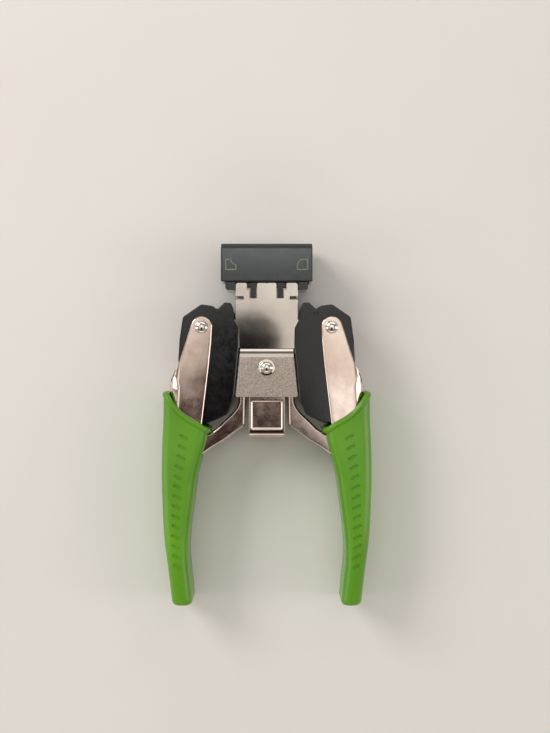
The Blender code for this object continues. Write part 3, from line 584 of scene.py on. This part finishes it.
def return_spring(side):
    """A coil at the CAD spring's place, evenly pitched from end to end."""
    lowest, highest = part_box(f"{side}_return_spring")
    x, z = (lowest.x + highest.x) / 2, (lowest.z + highest.z) / 2
    radius = (highest.x - lowest.x) / 2 - SPRING_WIRE_R
    start, end = lowest.y + SPRING_WIRE_R, highest.y - SPRING_WIRE_R
    curve = bpy.data.curves.new(f"{side}_spring", "CURVE")
    curve.dimensions = "3D"
    curve.bevel_depth = SPRING_WIRE_R
    curve.bevel_resolution = 3
    curve.use_fill_caps = True
    count = SPRING_TURNS * POINTS_PER_TURN + 1
    spline = curve.splines.new("POLY")
    spline.points.add(count - 1)
    for k, point in enumerate(spline.points):
        share = k / (count - 1)
        angle = math.tau * SPRING_TURNS * share
        rise = start + (end - start) * share
        point.co = (x + radius * math.cos(angle), rise, z + radius * math.sin(angle), 1.0)
    coil = solid_from(curve, f"{side}_return_coil", 0.01 * MM)
    bpy.ops.object.shade_smooth()
    fit(coil, WIRE_STEEL, "frame", f"{side}_return_spring", f"{side}_return_spring")
    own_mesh(coil)


for side in ("left", "right"):
    return_spring(side)

# ---- The head: cap and die holder ----
# The cap is a moulded black ABS box that catches the chips. Its front and rear faces meet the top
# in a flat chamfer. The die holder below it is moulded too, with fingers in the plates' notches.


def moulded_abs(name, light_hex, dark_hex, roughness, coat):
    """Injection-moulded ABS: a glossy skin with a 1.2 mm orange peel, faint flow clouds 25 mm
    across and 5 mm scuffs."""
    material, tree, shader = new_material(name, coat_weight=coat, coat_roughness=0.08)
    place = add_node(tree, "ShaderNodeTexCoord").outputs["Object"]
    flow = add_node(tree, "ShaderNodeTexNoise", {"Vector": place, "Scale": 40.0, "Detail": 3.0})
    colour = add_node(tree, "ShaderNodeValToRGB", {"Fac": flow.outputs["Fac"]})
    colour.color_ramp.elements[0].position = 0.35
    colour.color_ramp.elements[0].color = srgb(dark_hex)
    colour.color_ramp.elements[1].position = 0.7
    colour.color_ramp.elements[1].color = srgb(light_hex)
    tree.links.new(colour.outputs["Color"], shader.inputs["Base Color"])
    scuffs = add_node(
        tree,
        "ShaderNodeTexNoise",
        {"Vector": place, "Scale": 220.0, "Detail": 8.0, "Roughness": 0.7},
    )
    rough = add_node(
        tree,
        "ShaderNodeMapRange",
        {
            "Value": scuffs.outputs["Fac"],
            "From Min": 0.4,
            "From Max": 0.75,
            "To Min": roughness,
            "To Max": roughness + 0.10,
        },
    )
    tree.links.new(rough.outputs["Result"], shader.inputs["Roughness"])
    peel = add_node(
        tree, "ShaderNodeTexNoise", {"Vector": place, "Scale": 1 / (1.2 * MM), "Detail": 2.0}
    )
    bump = add_node(
        tree,
        "ShaderNodeBump",
        {"Height": peel.outputs["Fac"], "Strength": 0.06, "Distance": 0.08 * MM},
    )
    tree.links.new(bump.outputs["Normal"], shader.inputs["Normal"])
    return material


CAP_ABS = moulded_abs("black_abs_cap", "#1D2625", "#151D1C", 0.08, 0.25)
WING_ABS = moulded_abs("black_abs_wing", "#131416", "#0C0D0E", 0.07, 0.1)

cap_low, cap_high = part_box("head_cap")
CAP_WALL, CAP_CHAMFER, CAP_EDGE_R = 1.5 * MM, 2.0 * MM, 0.55 * MM
bpy.ops.object.select_all(action="DESELECT")
bpy.ops.mesh.primitive_cube_add(size=1.0, location=(cap_low + cap_high) / 2)
cap = bpy.context.object
cap.name = "head_cap_shell"
cap.scale = cap_high - cap_low
bpy.ops.object.transform_apply(location=True, rotation=True, scale=True)
bpy.ops.object.mode_set(mode="EDIT")


def at_top_long_edge(edge):
    """The two edges of the cap's top that run across the tool."""
    ends = [v.co for v in edge.verts]
    on_top = all(abs(p.y - cap_high.y) < 0.01 * MM for p in ends)
    return on_top and abs(ends[0].z - ends[1].z) < 0.01 * MM


select_edges(at_top_long_edge)
bpy.ops.mesh.bevel(offset=CAP_CHAMFER, segments=1)
bpy.ops.mesh.select_mode(type="FACE")
bpy.ops.mesh.select_all(action="DESELECT")
mesh = bmesh.from_edit_mesh(cap.data)
mesh.normal_update()
for face in mesh.faces:
    face.select_set(face.normal.y < -0.99)
bmesh.update_edit_mesh(cap.data)
bpy.ops.mesh.inset(thickness=CAP_WALL)
deep = cap_high.y - cap_low.y - 2 * CAP_WALL - CAP_CHAMFER
bpy.ops.mesh.extrude_region_move(TRANSFORM_OT_translate={"value": (0, deep, 0)})
bpy.ops.object.mode_set(mode="OBJECT")
round_edges(cap, CAP_EDGE_R, 4, 20)
fit(cap, CAP_ABS, "frame", "head_cap", "head_cap")

softened("die_holder", WING_ABS, "frame", 0.25 * MM, 3)

# Pad-printed marks at the cap's two ends show which corner each side cuts: a card's outline with a
# round bite at the corner, and one with a rounded corner. The ink stands 0.03 mm proud.
MARK_SIZE, MARK_LINE, INK_DEPTH = 5.4 * MM, 0.55 * MM, 0.03 * MM
MARK_INSET = 4.8 * MM  # from the cap's side to the middle of a mark
INK_UNDER = 0.05 * MM  # how far a mark reaches into the cap
BITE_R, BITE_TURNS, INNER_BITE_TURNS = 2.5 * MM, (270, 180), (261, 189)
ROUND_CORNER_R, ROUND_TURNS = 3.2 * MM, (0, 90)

# The ink is matt and thin, and its pale green is worn through in 0.5 mm specks.
PRINTING_INK, tree, shader = new_material("pad_printing_ink", roughness=0.5)
place = add_node(tree, "ShaderNodeTexCoord").outputs["Object"]
wear = add_node(
    tree, "ShaderNodeTexNoise", {"Vector": place, "Scale": 1 / (0.5 * MM), "Detail": 5.0}
)
ink = add_node(tree, "ShaderNodeValToRGB", {"Fac": wear.outputs["Fac"]})
ink.color_ramp.elements[0].position = 0.35
ink.color_ramp.elements[0].color = srgb("#5C6A58")
ink.color_ramp.elements[1].position = 0.62
ink.color_ramp.elements[1].color = srgb("#7C8B72")
tree.links.new(ink.outputs["Color"], shader.inputs["Base Color"])


def flat_solid(name, loops, low_z, high_z):
    """Closed outlines, the first outside and the rest holes, filled and given a thickness."""
    curve = bpy.data.curves.new(name, "CURVE")
    curve.dimensions = "2D"
    curve.fill_mode = "BOTH"
    curve.extrude = (high_z - low_z) / 2
    for loop in loops:
        spline = curve.splines.new("POLY")
        spline.points.add(len(loop) - 1)
        for point, spot in zip(spline.points, loop):
            point.co = (spot[0], spot[1], 0.0, 1.0)
        spline.use_cyclic_u = True
    solid = solid_from(curve, name, 0.002 * MM)
    solid.location.z = (low_z + high_z) / 2
    bpy.ops.object.transform_apply(location=True, rotation=True, scale=True)
    return solid


def card_corner(size, corner_centre, corner_radius, turns):
    """A card seen whole, with one corner cut by an arc whose angles are turns."""
    arc = [math.radians(turns[0] + (turns[1] - turns[0]) * k / 14) for k in range(15)]
    cx, cy = corner_centre
    cut = [(cx + corner_radius * math.cos(a), cy + corner_radius * math.sin(a)) for a in arc]
    return [(-size / 2, -size / 2), (size / 2, -size / 2), *cut, (-size / 2, size / 2)]


def corner_mark(name, side, bite):
    """A printed outline of a card whose upper corner is bitten out or rounded."""
    half, inside = MARK_SIZE / 2, MARK_SIZE - 2 * MARK_LINE
    if bite:
        centre = (half, half)
        outer = card_corner(MARK_SIZE, centre, BITE_R, BITE_TURNS)
        inner = card_corner(inside, centre, BITE_R + MARK_LINE, INNER_BITE_TURNS)
    else:
        centre = (half - ROUND_CORNER_R, half - ROUND_CORNER_R)
        outer = card_corner(MARK_SIZE, centre, ROUND_CORNER_R, ROUND_TURNS)
        inner = card_corner(inside, centre, ROUND_CORNER_R - MARK_LINE, ROUND_TURNS)
    x = side * ((cap_high.x - cap_low.x) / 2 - MARK_INSET)
    y = (cap_low.y + cap_high.y - CAP_CHAMFER) / 2
    loops = [[(x - side * px, y + py) for px, py in loop] for loop in (outer, inner)]
    top = cap_high.z
    mark = flat_solid(name, loops, top - INK_UNDER, top + INK_DEPTH)
    fit(mark, PRINTING_INK, "frame", "head_cap")


corner_mark("bitten_corner_mark", -1, True)
corner_mark("rounded_corner_mark", 1, False)

# ---- The wings ----
# Four moulded shells of glossy black ABS close over the plates' ears. Their outer faces roll over
# into the walls, and two small core slots sit under the notch at the top.

PIVOT_X, PIVOT_Y = 31.25 * MM, 46.8 * MM
PIVOT_CLEAR_R = 4.0 * MM  # no edge nearer the pivot than this is rolled
WING_ROLL_R = 0.7 * MM
WING_TOP_CORNER_R, WING_FOOT_CORNER_R = 0.9 * MM, 1.8 * MM
WING_TOP_FROM_Y, WING_FOOT_TO_Y = 50.0 * MM, 14.0 * MM
WALL_HEIGHT = 12.0 * MM  # the outline's own corner edges are taller than this
WING_SLOTS = [(24.5 * MM, 53.4 * MM), (22.9 * MM, 53.2 * MM)]
SLOT_SIZE = (0.6 * MM, 1.5 * MM, 1.2 * MM)


def box_cutter(name, centre, size):
    """A block to be cut away from a piece."""
    bpy.ops.object.select_all(action="DESELECT")
    bpy.ops.mesh.primitive_cube_add(size=1.0, location=centre)
    block = bpy.context.object
    block.name = name
    block.scale = size
    bpy.ops.object.transform_apply(location=True, rotation=True, scale=True)
    return block


def cut_away(piece, *cutters):
    """Takes each cutter's volume out of the piece, then deletes the cutter."""
    for cutter in cutters:
        modifier = piece.modifiers.new("cut", "BOOLEAN")
        modifier.operation = "DIFFERENCE"
        modifier.solver = "MANIFOLD"
        modifier.object = cutter
    apply_modifiers(piece)
    for cutter in cutters:
        bpy.data.objects.remove(cutter)


def roll_rim(levels, width, segments, holes=(), above_y=-1.0):
    """In edit mode, rounds the outline of the flat faces at the levels given. It leaves out the
    edges within a hole's (x, y, radius) and those below above_y."""

    def rim(edge):
        level = any(all(abs(v.co.z - z) < 0.01 * MM for v in edge.verts) for z in levels)
        flat = sum(abs(f.normal.z) > 0.99 for f in edge.link_faces)
        start, end = (v.co.xy for v in edge.verts)
        clear = all((start - Vector((x, y))).length > r for x, y, r in holes)
        return level and flat == 1 and clear and (start.y + end.y) / 2 > above_y

    select_edges(rim)
    bpy.ops.mesh.bevel(offset=width, segments=segments, profile=0.5)


def wing(side, sign, end, turn):
    """One shell: its wall's corners and outer rim rounded, with the two core slots."""
    node = f"{side}_wing_{end}"
    lowest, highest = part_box(node)
    outside = highest.z if turn > 0 else lowest.z
    shell = cad_copy(node, node + "_shell")
    bpy.ops.object.mode_set(mode="EDIT")

    def wall_corner(edge):
        """The outside corners of the outline; the room's own corners are shorter."""
        along = edge.verts[0].co - edge.verts[1].co
        return abs(along.z) > WALL_HEIGHT and edge.calc_face_angle(0.0) > math.radians(12)

    select_edges(lambda e: wall_corner(e) and e.verts[0].co.y > WING_TOP_FROM_Y)
    bpy.ops.mesh.bevel(offset=WING_TOP_CORNER_R, segments=4, profile=0.5, clamp_overlap=True)
    select_edges(lambda e: wall_corner(e) and e.verts[0].co.y < WING_FOOT_TO_Y)
    bpy.ops.mesh.bevel(offset=WING_FOOT_CORNER_R, segments=4, profile=0.5, clamp_overlap=True)
    roll_rim([outside], WING_ROLL_R, 5, [(sign * PIVOT_X, PIVOT_Y, PIVOT_CLEAR_R)])
    bpy.ops.object.mode_set(mode="OBJECT")
    slots = [box_cutter("slot", (sign * x, y, outside), SLOT_SIZE) for x, y in WING_SLOTS]
    cut_away(shell, *slots)
    round_edges(shell, 0.18 * MM, 2, 38)
    fit(shell, WING_ABS, "frame", node, node)


for side, sign in (("left", -1), ("right", 1)):
    for end, turn in (("front", 1), ("rear", -1)):
        wing(side, sign, end, turn)

# ---- Lever channels ----
# Each lever is pressed from 1.5 mm sheet into a channel and bright plated. The bend from the cheek
# to the back is a wide roll that narrows towards the shoulder, and the free edge is rounded over.

BEND_R, ROOM_CORNER_R, FREE_EDGE_R = 5.2 * MM, 3.0 * MM, 0.6 * MM
SHEET = 1.5 * MM
BACK_LINE = [  # the outside of the back in mm, from the cheek's shoulder down
    (39.6, 37.7),
    (42.4, 28.8),
    (43.7, 26.4),
    (45.4, 22.8),
    (46.4, 19.6),
    (46.7, 17.0),
    (47.2, 8.0),
    (47.5, -8.0),
]
FULL_BEND_Y, SHARP_BEND_Y = 17.0 * MM, 27.5 * MM
LEAST_BEND = 0.1  # the share of its width that the bend keeps at the shoulder
BEND_SIDE_X = 41.5 * MM  # the back's edges lie outside this
PIVOT_HOLE_R = 2.6 * MM
ARM_PINS = [(38.6 * MM, -9.6 * MM), (42.6 * MM, -14.6 * MM)]
PIN_HOLE_R = 2.1 * MM
BEND_TOP_Y, ROLLED_FROM_Y = 26.5 * MM, -12.0 * MM  # the grip hides the edges below the second
CHEEK_INSIDE = 13.1 * MM  # from the middle plane to a cheek's inner face
CHANNEL_ROOM = [  # the space between the cheeks, in mm
    (41.0, 26.6),
    (42.2, 26.4),
    (43.9, 22.8),
    (44.9, 19.6),
    (45.2, 17.0),
    (45.7, 8.0),
    (46.0, -8.0),
    (46.4, -19.3),
    (46.4, -22.8),
    (20.0, -22.8),
    (20.0, 60.0),
    (60.0, 60.0),
    (60.0, 26.6),
]
LEVER_PLATE = bright_plating("bright_plated_lever", "#F0DED2", "#DAC4B6", 0.07)


def outline_at(node, z):
    """The longest edge loop round a CAD node's flat faces at height z, as points in the plane."""
    mesh = bmesh.new()
    mesh.from_mesh(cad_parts[node].data)
    bmesh.ops.remove_doubles(mesh, verts=mesh.verts, dist=0.004 * MM)
    mesh.normal_update()
    level = [f for f in mesh.faces if abs(f.normal.z) > 0.99]
    flat = {f for f in level if abs(f.verts[0].co.z - z) < 0.01 * MM}
    rim = [e for e in mesh.edges if sum(f in flat for f in e.link_faces) == 1]
    loops = []
    while rim:
        loop = list(rim.pop().verts)
        while onward := next((e for e in loop[-1].link_edges if e in rim), None):
            rim.remove(onward)
            loop.append(onward.other_vert(loop[-1]))
        loops.append([v.co.xy.copy() for v in loop[:-1]])
    mesh.free()
    return max(loops, key=lambda loop: sum((a - b).length for a, b in zip(loop, loop[1:])))


def blank(node, name):
    """The CAD node's outline as a solid slab of the node's own depth, left in edit mode, and the
    heights of its two faces."""
    lowest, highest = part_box(node)
    slab = flat_solid(name, [outline_at(node, highest.z)], lowest.z, highest.z)
    bpy.ops.object.mode_set(mode="EDIT")
    bpy.ops.mesh.select_all(action="SELECT")
    bpy.ops.mesh.dissolve_limited(angle_limit=FLAT_WITHIN)
    return slab, lowest.z, highest.z


def drill(x, y, radius):
    """A long round cutter through the middle plane."""
    bpy.ops.object.select_all(action="DESELECT")
    bpy.ops.mesh.primitive_cylinder_add(
        vertices=40, radius=radius, depth=40 * MM, location=(x, y, MIDDLE_Z)
    )
    bpy.ops.object.transform_apply(location=True, rotation=True, scale=True)
    return bpy.context.object


def ease_bend(solid, levels, inwards, radius):
    """Narrows a bend of this radius, inwards of the back's line, towards the shoulder, where the
    back runs out into the cheek. The bend is slanted, so it reaches further across than down."""
    reach_x, reach_z = 1.4 * radius, 1.02 * radius
    for vert in solid.data.vertices:
        x, y, z = vert.co
        level = min(levels, key=lambda height: abs(height - z))
        if not FULL_BEND_Y < y < SHARP_BEND_Y or abs(level - z) > reach_z:
            continue
        low, high = next((b, a) for a, b in zip(BACK_LINE, BACK_LINE[1:]) if b[1] * MM <= y)
        share = (y / MM - low[1]) / (high[1] - low[1])
        corner = (low[0] + (high[0] - low[0]) * share) * MM - inwards
        if corner - x > reach_x:
            continue
        sharp = (y - FULL_BEND_Y) / (SHARP_BEND_Y - FULL_BEND_Y)
        keep = 1.0 - (1.0 - LEAST_BEND) * sharp * sharp * (3.0 - 2.0 * sharp)
        vert.co.x = corner + (x - corner) * keep
        vert.co.z = level + (z - level) * keep


def lever_channel(side):
    """Both channels are shaped as the right one; the left one is its mirror image."""
    node = f"{side}_lever_channel"
    channel, low_z, high_z = blank("right_lever_channel", node + "_pressing")

    def bend(edge):
        """The two long edges of the back, on the slab's levels or on the room's."""
        on_level = all(min(abs(v.co.z - z) for z in levels) < 0.01 * MM for v in edge.verts)
        middle = (edge.verts[0].co + edge.verts[1].co) / 2
        outwards = any(f.normal.x > 0.6 for f in edge.link_faces)
        back = ROLLED_FROM_Y < middle.y < BEND_TOP_Y and middle.x > BEND_SIDE_X
        return on_level and outwards and back

    levels = (low_z, high_z)
    select_edges(bend)
    bpy.ops.mesh.bevel(offset=BEND_R, segments=10, profile=0.5)
    roll_rim(levels, FREE_EDGE_R, 4, above_y=ROLLED_FROM_Y)
    bpy.ops.object.mode_set(mode="OBJECT")
    ease_bend(channel, levels, 0.0, BEND_R)
    inside = [(x * MM, y * MM) for x, y in CHANNEL_ROOM]
    levels = (MIDDLE_Z - CHEEK_INSIDE, MIDDLE_Z + CHEEK_INSIDE)
    room = flat_solid("room", [inside], *levels)
    bpy.ops.object.mode_set(mode="EDIT")
    select_edges(bend)
    bpy.ops.mesh.bevel(offset=ROOM_CORNER_R, segments=6, profile=0.5)
    bpy.ops.object.mode_set(mode="OBJECT")
    ease_bend(room, levels, SHEET, ROOM_CORNER_R)
    holes = [drill(x, y, PIN_HOLE_R) for x, y in ARM_PINS]
    cut_away(channel, room, drill(PIVOT_X, PIVOT_Y, PIVOT_HOLE_R), *holes)
    if side == "left":
        for vert in channel.data.vertices:
            vert.co.x = -vert.co.x
        only(channel)
        bpy.ops.object.mode_set(mode="EDIT")
        bpy.ops.mesh.select_all(action="SELECT")
        bpy.ops.mesh.normals_make_consistent(inside=False)
        bpy.ops.object.mode_set(mode="OBJECT")
    round_edges(channel, 0.12 * MM, 2, 35)
    fit(channel, LEVER_PLATE, f"{side}_lever", node, node)


for side in ("left", "right"):
    lever_channel(side)

# ---- Drive arms and their pins ----
# The arms are thick bright-plated steel with well-rounded edges, and the pins are ground rod.

ARM_ROLL_R = 1.1 * MM

for side, sign in (("left", -1), ("right", 1)):
    node = f"{side}_drive_arm"
    arm, low_z, high_z = blank(node, node + "_forging")
    roll_rim([low_z, high_z], ARM_ROLL_R, 5)
    bpy.ops.object.mode_set(mode="OBJECT")
    cut_away(arm, *[drill(sign * x, y, PIN_HOLE_R) for x, y in ARM_PINS])
    round_edges(arm, 0.12 * MM, 2, 40)
    fit(arm, BRIGHT_PLATE, f"{side}_lever", node, node)
    for level in ("upper", "lower"):
        softened(f"{side}_{level}_arm_pin", GROUND_STEEL, f"{side}_lever", 0.2 * MM)

# ---- Grips ----
# Each grip is a green vinyl sleeve, moulded with a rolled lip round its scooped collar. A row of
# short slanting bars is sunk into the middle of its front and back.

GRIP_HALF_DEPTH = 17.2 * MM
GRIP_CORNER_R = 4.6 * MM
GRIP_END_R = 2.4 * MM
GRIP_TOP_Y, GRIP_END_Y = 19.0 * MM, -87.0 * MM
LIP_R, LIP_SINK, LIP_FLATTER = 1.55 * MM, 1.0 * MM, 0.55 * MM
LIP_DROP = 1.5 * MM  # from the collar's top line to the middle of the lip

# Down the grip: Y, its outer side, its inner side and how much flatter it is, all in mm.
GRIP_STATIONS = [
    (19.0, 49.7, 27.4, 0.6),
    (3.0, 49.7, 27.6, 0.6),
    (-8.0, 50.3, 29.2, 0.5),
    (-17.0, 50.5, 32.0, 0.2),
    (-26.0, 50.6, 34.2, 0.0),
    (-43.0, 50.0, 36.3, 0.0),
    (-53.0, 49.5, 37.6, 0.0),
    (-60.0, 48.7, 38.0, 0.0),
    (-67.0, 47.7, 37.9, 0.3),
    (-76.0, 46.6, 36.8, 0.8),
    (-87.0, 45.4, 35.6, 1.5),
]
COLLAR_LINE = [  # from the outer side to the inner side, in mm
    (49.7, 17.0),
    (48.9, 16.4),
    (47.7, 14.5),
    (45.3, 10.5),
    (41.9, 6.7),
    (37.5, 3.6),
    (32.7, 1.0),
    (30.3, -0.7),
    (27.4, -1.8),
]


OUTER, INNER, FLATTER = 1, 2, 3  # the stations' columns


def smoothed(at, places, values, half_window, width, count):
    """A line through values at places, averaged over a bell of this width about the point at."""
    spread = np.linspace(-half_window, half_window, count)
    weights = np.exp(-((spread / width) ** 2))
    samples = np.interp(np.clip(at + spread, places[0], places[-1]), places, values)
    return float((samples * weights).sum() / weights.sum()) * MM


def eased(column, y):
    """A column of the stations at height y, smoothed over its neighbours."""
    heights = [row[0] for row in reversed(GRIP_STATIONS)]
    values = [row[column] for row in reversed(GRIP_STATIONS)]
    return smoothed(y / MM, heights, values, 6.0, 4.0, 13)


def grip_body(name, sign):
    """A cube drawn out down the stations, with its long edges and its lower end rounded."""
    heights = np.linspace(GRIP_TOP_Y, GRIP_END_Y, 44)
    sections = []
    for y in heights:
        outer, inner = eased(OUTER, y), eased(INNER, y)
        depth = GRIP_HALF_DEPTH - eased(FLATTER, y)
        sections.append((y, (outer + inner) / 2, (outer - inner) / 2, depth))
    y, middle, half_width, half_depth = sections[0]
    bpy.ops.object.select_all(action="DESELECT")
    bpy.ops.mesh.primitive_cube_add(size=1.0, location=(0, 0, 0))
    body = bpy.context.object
    body.name = name
    next_y = sections[1][0]
    body.location = (sign * middle, (y + next_y) / 2, MIDDLE_Z)
    body.scale = (2 * half_width, y - next_y, 2 * half_depth)
    bpy.ops.object.transform_apply(location=True, rotation=True, scale=True)
    bpy.ops.object.mode_set(mode="EDIT")
    bpy.ops.mesh.select_mode(type="FACE")
    bpy.ops.mesh.select_all(action="DESELECT")
    mesh = bmesh.from_edit_mesh(body.data)
    mesh.normal_update()
    for face in mesh.faces:
        face.select_set(face.normal.y < -0.9)
    bmesh.update_edit_mesh(body.data)
    previous = sections[0]
    for step, section in enumerate(sections[1:]):
        if step:
            drop = section[0] - previous_y
            bpy.ops.mesh.extrude_region_move(TRANSFORM_OT_translate={"value": (0, drop, 0)})
        y, middle, half_width, half_depth = section
        shift = sign * (middle - previous[1])
        bpy.ops.transform.translate(value=(shift, 0, 0))
        ratio = (half_width / previous[2], 1, half_depth / previous[3])
        bpy.ops.transform.resize(value=ratio, center_override=(sign * middle, y, MIDDLE_Z))
        previous, previous_y = section, y
    select_edges(lambda e: abs((e.verts[0].co - e.verts[1].co).normalized().y) > 0.5)
    bpy.ops.mesh.bevel(offset=GRIP_CORNER_R, segments=8, profile=0.5)
    select_edges(lambda e: sum(f.normal.y < -0.95 for f in e.link_faces) == 1)
    bpy.ops.mesh.bevel(offset=GRIP_END_R, segments=6, profile=0.5)
    bpy.ops.object.mode_set(mode="OBJECT")
    return body


def collar_y(x):
    """The height of the collar's top line at a distance from the tool's middle."""
    sides, heights = zip(*sorted(COLLAR_LINE))
    return smoothed(x / MM, sides, heights, 1.6, 1.1, 9)


def grip_lip(name, sign):
    """The rolled lip: a closed tube round the collar, partly sunk in the sleeve."""
    _, outer, inner, _ = GRIP_STATIONS[1]
    middle, half_width = (outer + inner) / 2 * MM, (outer - inner) / 2 * MM - LIP_SINK
    half_depth = GRIP_HALF_DEPTH - LIP_FLATTER - LIP_SINK
    corner = GRIP_CORNER_R - LIP_SINK
    curve = bpy.data.curves.new(name, "CURVE")
    curve.dimensions = "3D"
    curve.bevel_depth = LIP_R
    curve.bevel_resolution = 5
    ring = []
    for corner_x, corner_z, start in ((1, 1, 0), (-1, 1, 90), (-1, -1, 180), (1, -1, 270)):
        for k in range(9):
            angle = math.radians(start + 90 * k / 8)
            x = middle + corner_x * (half_width - corner) + corner * math.cos(angle)
            z = corner_z * (half_depth - corner) + corner * math.sin(angle)
            ring.append((x, z))
        next_x, next_z = {0: (-1, 1), 90: (-1, -1), 180: (1, -1), 270: (1, 1)}[start]
        last_x, last_z = ring[-1]
        end_x = middle + next_x * (half_width - corner) if next_x != corner_x else last_x
        end_z = next_z * (half_depth - corner) if next_z != corner_z else last_z
        for k in range(1, 16):
            share = k / 16
            ring.append((last_x + (end_x - last_x) * share, last_z + (end_z - last_z) * share))
    spline = curve.splines.new("POLY")
    spline.points.add(len(ring) - 1)
    for point, (x, z) in zip(spline.points, ring):
        point.co = (sign * x, collar_y(x) - LIP_DROP, MIDDLE_Z + z, 1.0)
    spline.use_cyclic_u = True
    lip = solid_from(curve, name, 0.005 * MM)
    bpy.ops.object.shade_smooth()
    return lip


def moulded_vinyl():
    """Soft green vinyl: an even colour with 35 mm clouds, a satin skin with a 0.7 mm grain and
    5 mm handling marks."""
    material, tree, shader = new_material(
        "green_moulded_vinyl", coat_weight=0.1, coat_roughness=0.2
    )
    place = add_node(tree, "ShaderNodeTexCoord").outputs["Object"]
    cloud = add_node(tree, "ShaderNodeTexNoise", {"Vector": place, "Scale": 28.0, "Detail": 4.0})
    colour = add_node(tree, "ShaderNodeValToRGB", {"Fac": cloud.outputs["Fac"]})
    colour.color_ramp.elements[0].position = 0.3
    colour.color_ramp.elements[0].color = srgb("#528E06")
    colour.color_ramp.elements[1].position = 0.72
    colour.color_ramp.elements[1].color = srgb("#60A00C")
    tree.links.new(colour.outputs["Color"], shader.inputs["Base Color"])
    marks = add_node(
        tree,
        "ShaderNodeTexNoise",
        {"Vector": place, "Scale": 190.0, "Detail": 7.0, "Roughness": 0.6},
    )
    rough = add_node(
        tree, "ShaderNodeMapRange", {"Value": marks.outputs["Fac"], "To Min": 0.22, "To Max": 0.38}
    )
    tree.links.new(rough.outputs["Result"], shader.inputs["Roughness"])
    grain = add_node(
        tree, "ShaderNodeTexNoise", {"Vector": place, "Scale": 1 / (0.7 * MM), "Detail": 4.0}
    )
    bump = add_node(
        tree,
        "ShaderNodeBump",
        {"Height": grain.outputs["Fac"], "Strength": 0.16, "Distance": 0.08 * MM},
    )
    tree.links.new(bump.outputs["Normal"], shader.inputs["Normal"])
    return material


GREEN_VINYL = moulded_vinyl()
BAR_COUNT, FIRST_BAR_Y, LAST_BAR_Y = 14, -6.0 * MM, -68.0 * MM
BAR_LENGTH, BAR_WIDTH, BAR_SINK = 4.6 * MM, 1.5 * MM, 0.5 * MM
BAR_LEAN = math.radians(62)  # from the grip's length
SCOOP_OUTER, SCOOP_INNER, SCOOP_TOP_Y, SCOOP_HIGH_Z = 60 * MM, 22 * MM, 40 * MM, 36 * MM
POCKET_HALF, WINDOW_HALF = 14.9 * MM, 8.3 * MM
POCKET = [  # the room for the channel, in mm
    (44.2, 30.0),
    (47.6, 18.6),
    (47.6, 8.0),
    (47.85, -8.0),
    (48.2, -21.4),
    (36.4, -21.4),
    (32.7, -12.0),
    (30.4, 0.0),
    (30.4, 30.0),
]
WINDOW = [  # the arm's way out through the inner side, in mm
    (24.0, -2.9),
    (28.0, -4.2),
    (34.0, -5.2),
    (38.0, -5.2),
    (38.0, -18.6),
    (34.0, -17.6),
    (27.0, -12.6),
    (24.0, -10.8),
]


def grip_bars(sign):
    """Cutters for the sunk bars: short slanting pills in a row, front and back."""
    cutters = []
    for k in range(BAR_COUNT):
        y = FIRST_BAR_Y + (LAST_BAR_Y - FIRST_BAR_Y) * k / (BAR_COUNT - 1)
        middle = (eased(OUTER, y) + eased(INNER, y)) / 2
        depth = GRIP_HALF_DEPTH - eased(FLATTER, y)
        pill = []
        for end, start in ((1, -90), (-1, 90)):
            for j in range(7):
                angle = math.radians(start + 30 * j)
                along = end * (BAR_LENGTH - BAR_WIDTH) / 2 + BAR_WIDTH / 2 * math.cos(angle)
                across = BAR_WIDTH / 2 * math.sin(angle)
                x = middle + along * math.sin(BAR_LEAN) - across * math.cos(BAR_LEAN)
                drop = along * math.cos(BAR_LEAN) + across * math.sin(BAR_LEAN)
                pill.append((sign * x, y + drop))
        for turn in (1, -1):
            heights = sorted((MIDDLE_Z + turn * (depth - BAR_SINK), MIDDLE_Z + turn * (depth + MM)))
            cutters.append(flat_solid("bar", [pill], *heights))
    only(cutters[0])
    for cutter in cutters:
        cutter.select_set(True)
    bpy.ops.object.join()
    return bpy.context.object


def grip(side, sign):
    """The sleeve with its collar, room, window and bars cut, and the lip laid round the collar."""
    body = grip_body(f"{side}_grip_sleeve", sign)
    # The scoop takes away everything above the middle of the lip.
    line = [(x, collar_y(x) - LIP_DROP) for x in np.linspace(SCOOP_OUTER, SCOOP_INNER, 39)]
    line += [(SCOOP_INNER, SCOOP_TOP_Y), (SCOOP_OUTER, SCOOP_TOP_Y)]
    scoop = flat_solid("scoop", [[(sign * x, y) for x, y in line]], -MM, SCOOP_HIGH_Z)
    cutters = [
        flat_solid(
            name, [[(sign * x * MM, y * MM) for x, y in line]], MIDDLE_Z - half, MIDDLE_Z + half
        )
        for name, line, half in (("pocket", POCKET, POCKET_HALF), ("window", WINDOW, WINDOW_HALF))
    ]
    cut_away(body, scoop, *cutters, grip_bars(sign))
    round_edges(body, 0.22 * MM, 3, 40)
    node = f"{side}_grip"
    fit(body, GREEN_VINYL, f"{side}_lever", node, node)
    lip = grip_lip(f"{side}_grip_lip", sign)
    fit(lip, GREEN_VINYL, f"{side}_lever", node)


for side, sign in (("left", -1), ("right", 1)):
    grip(side, sign)
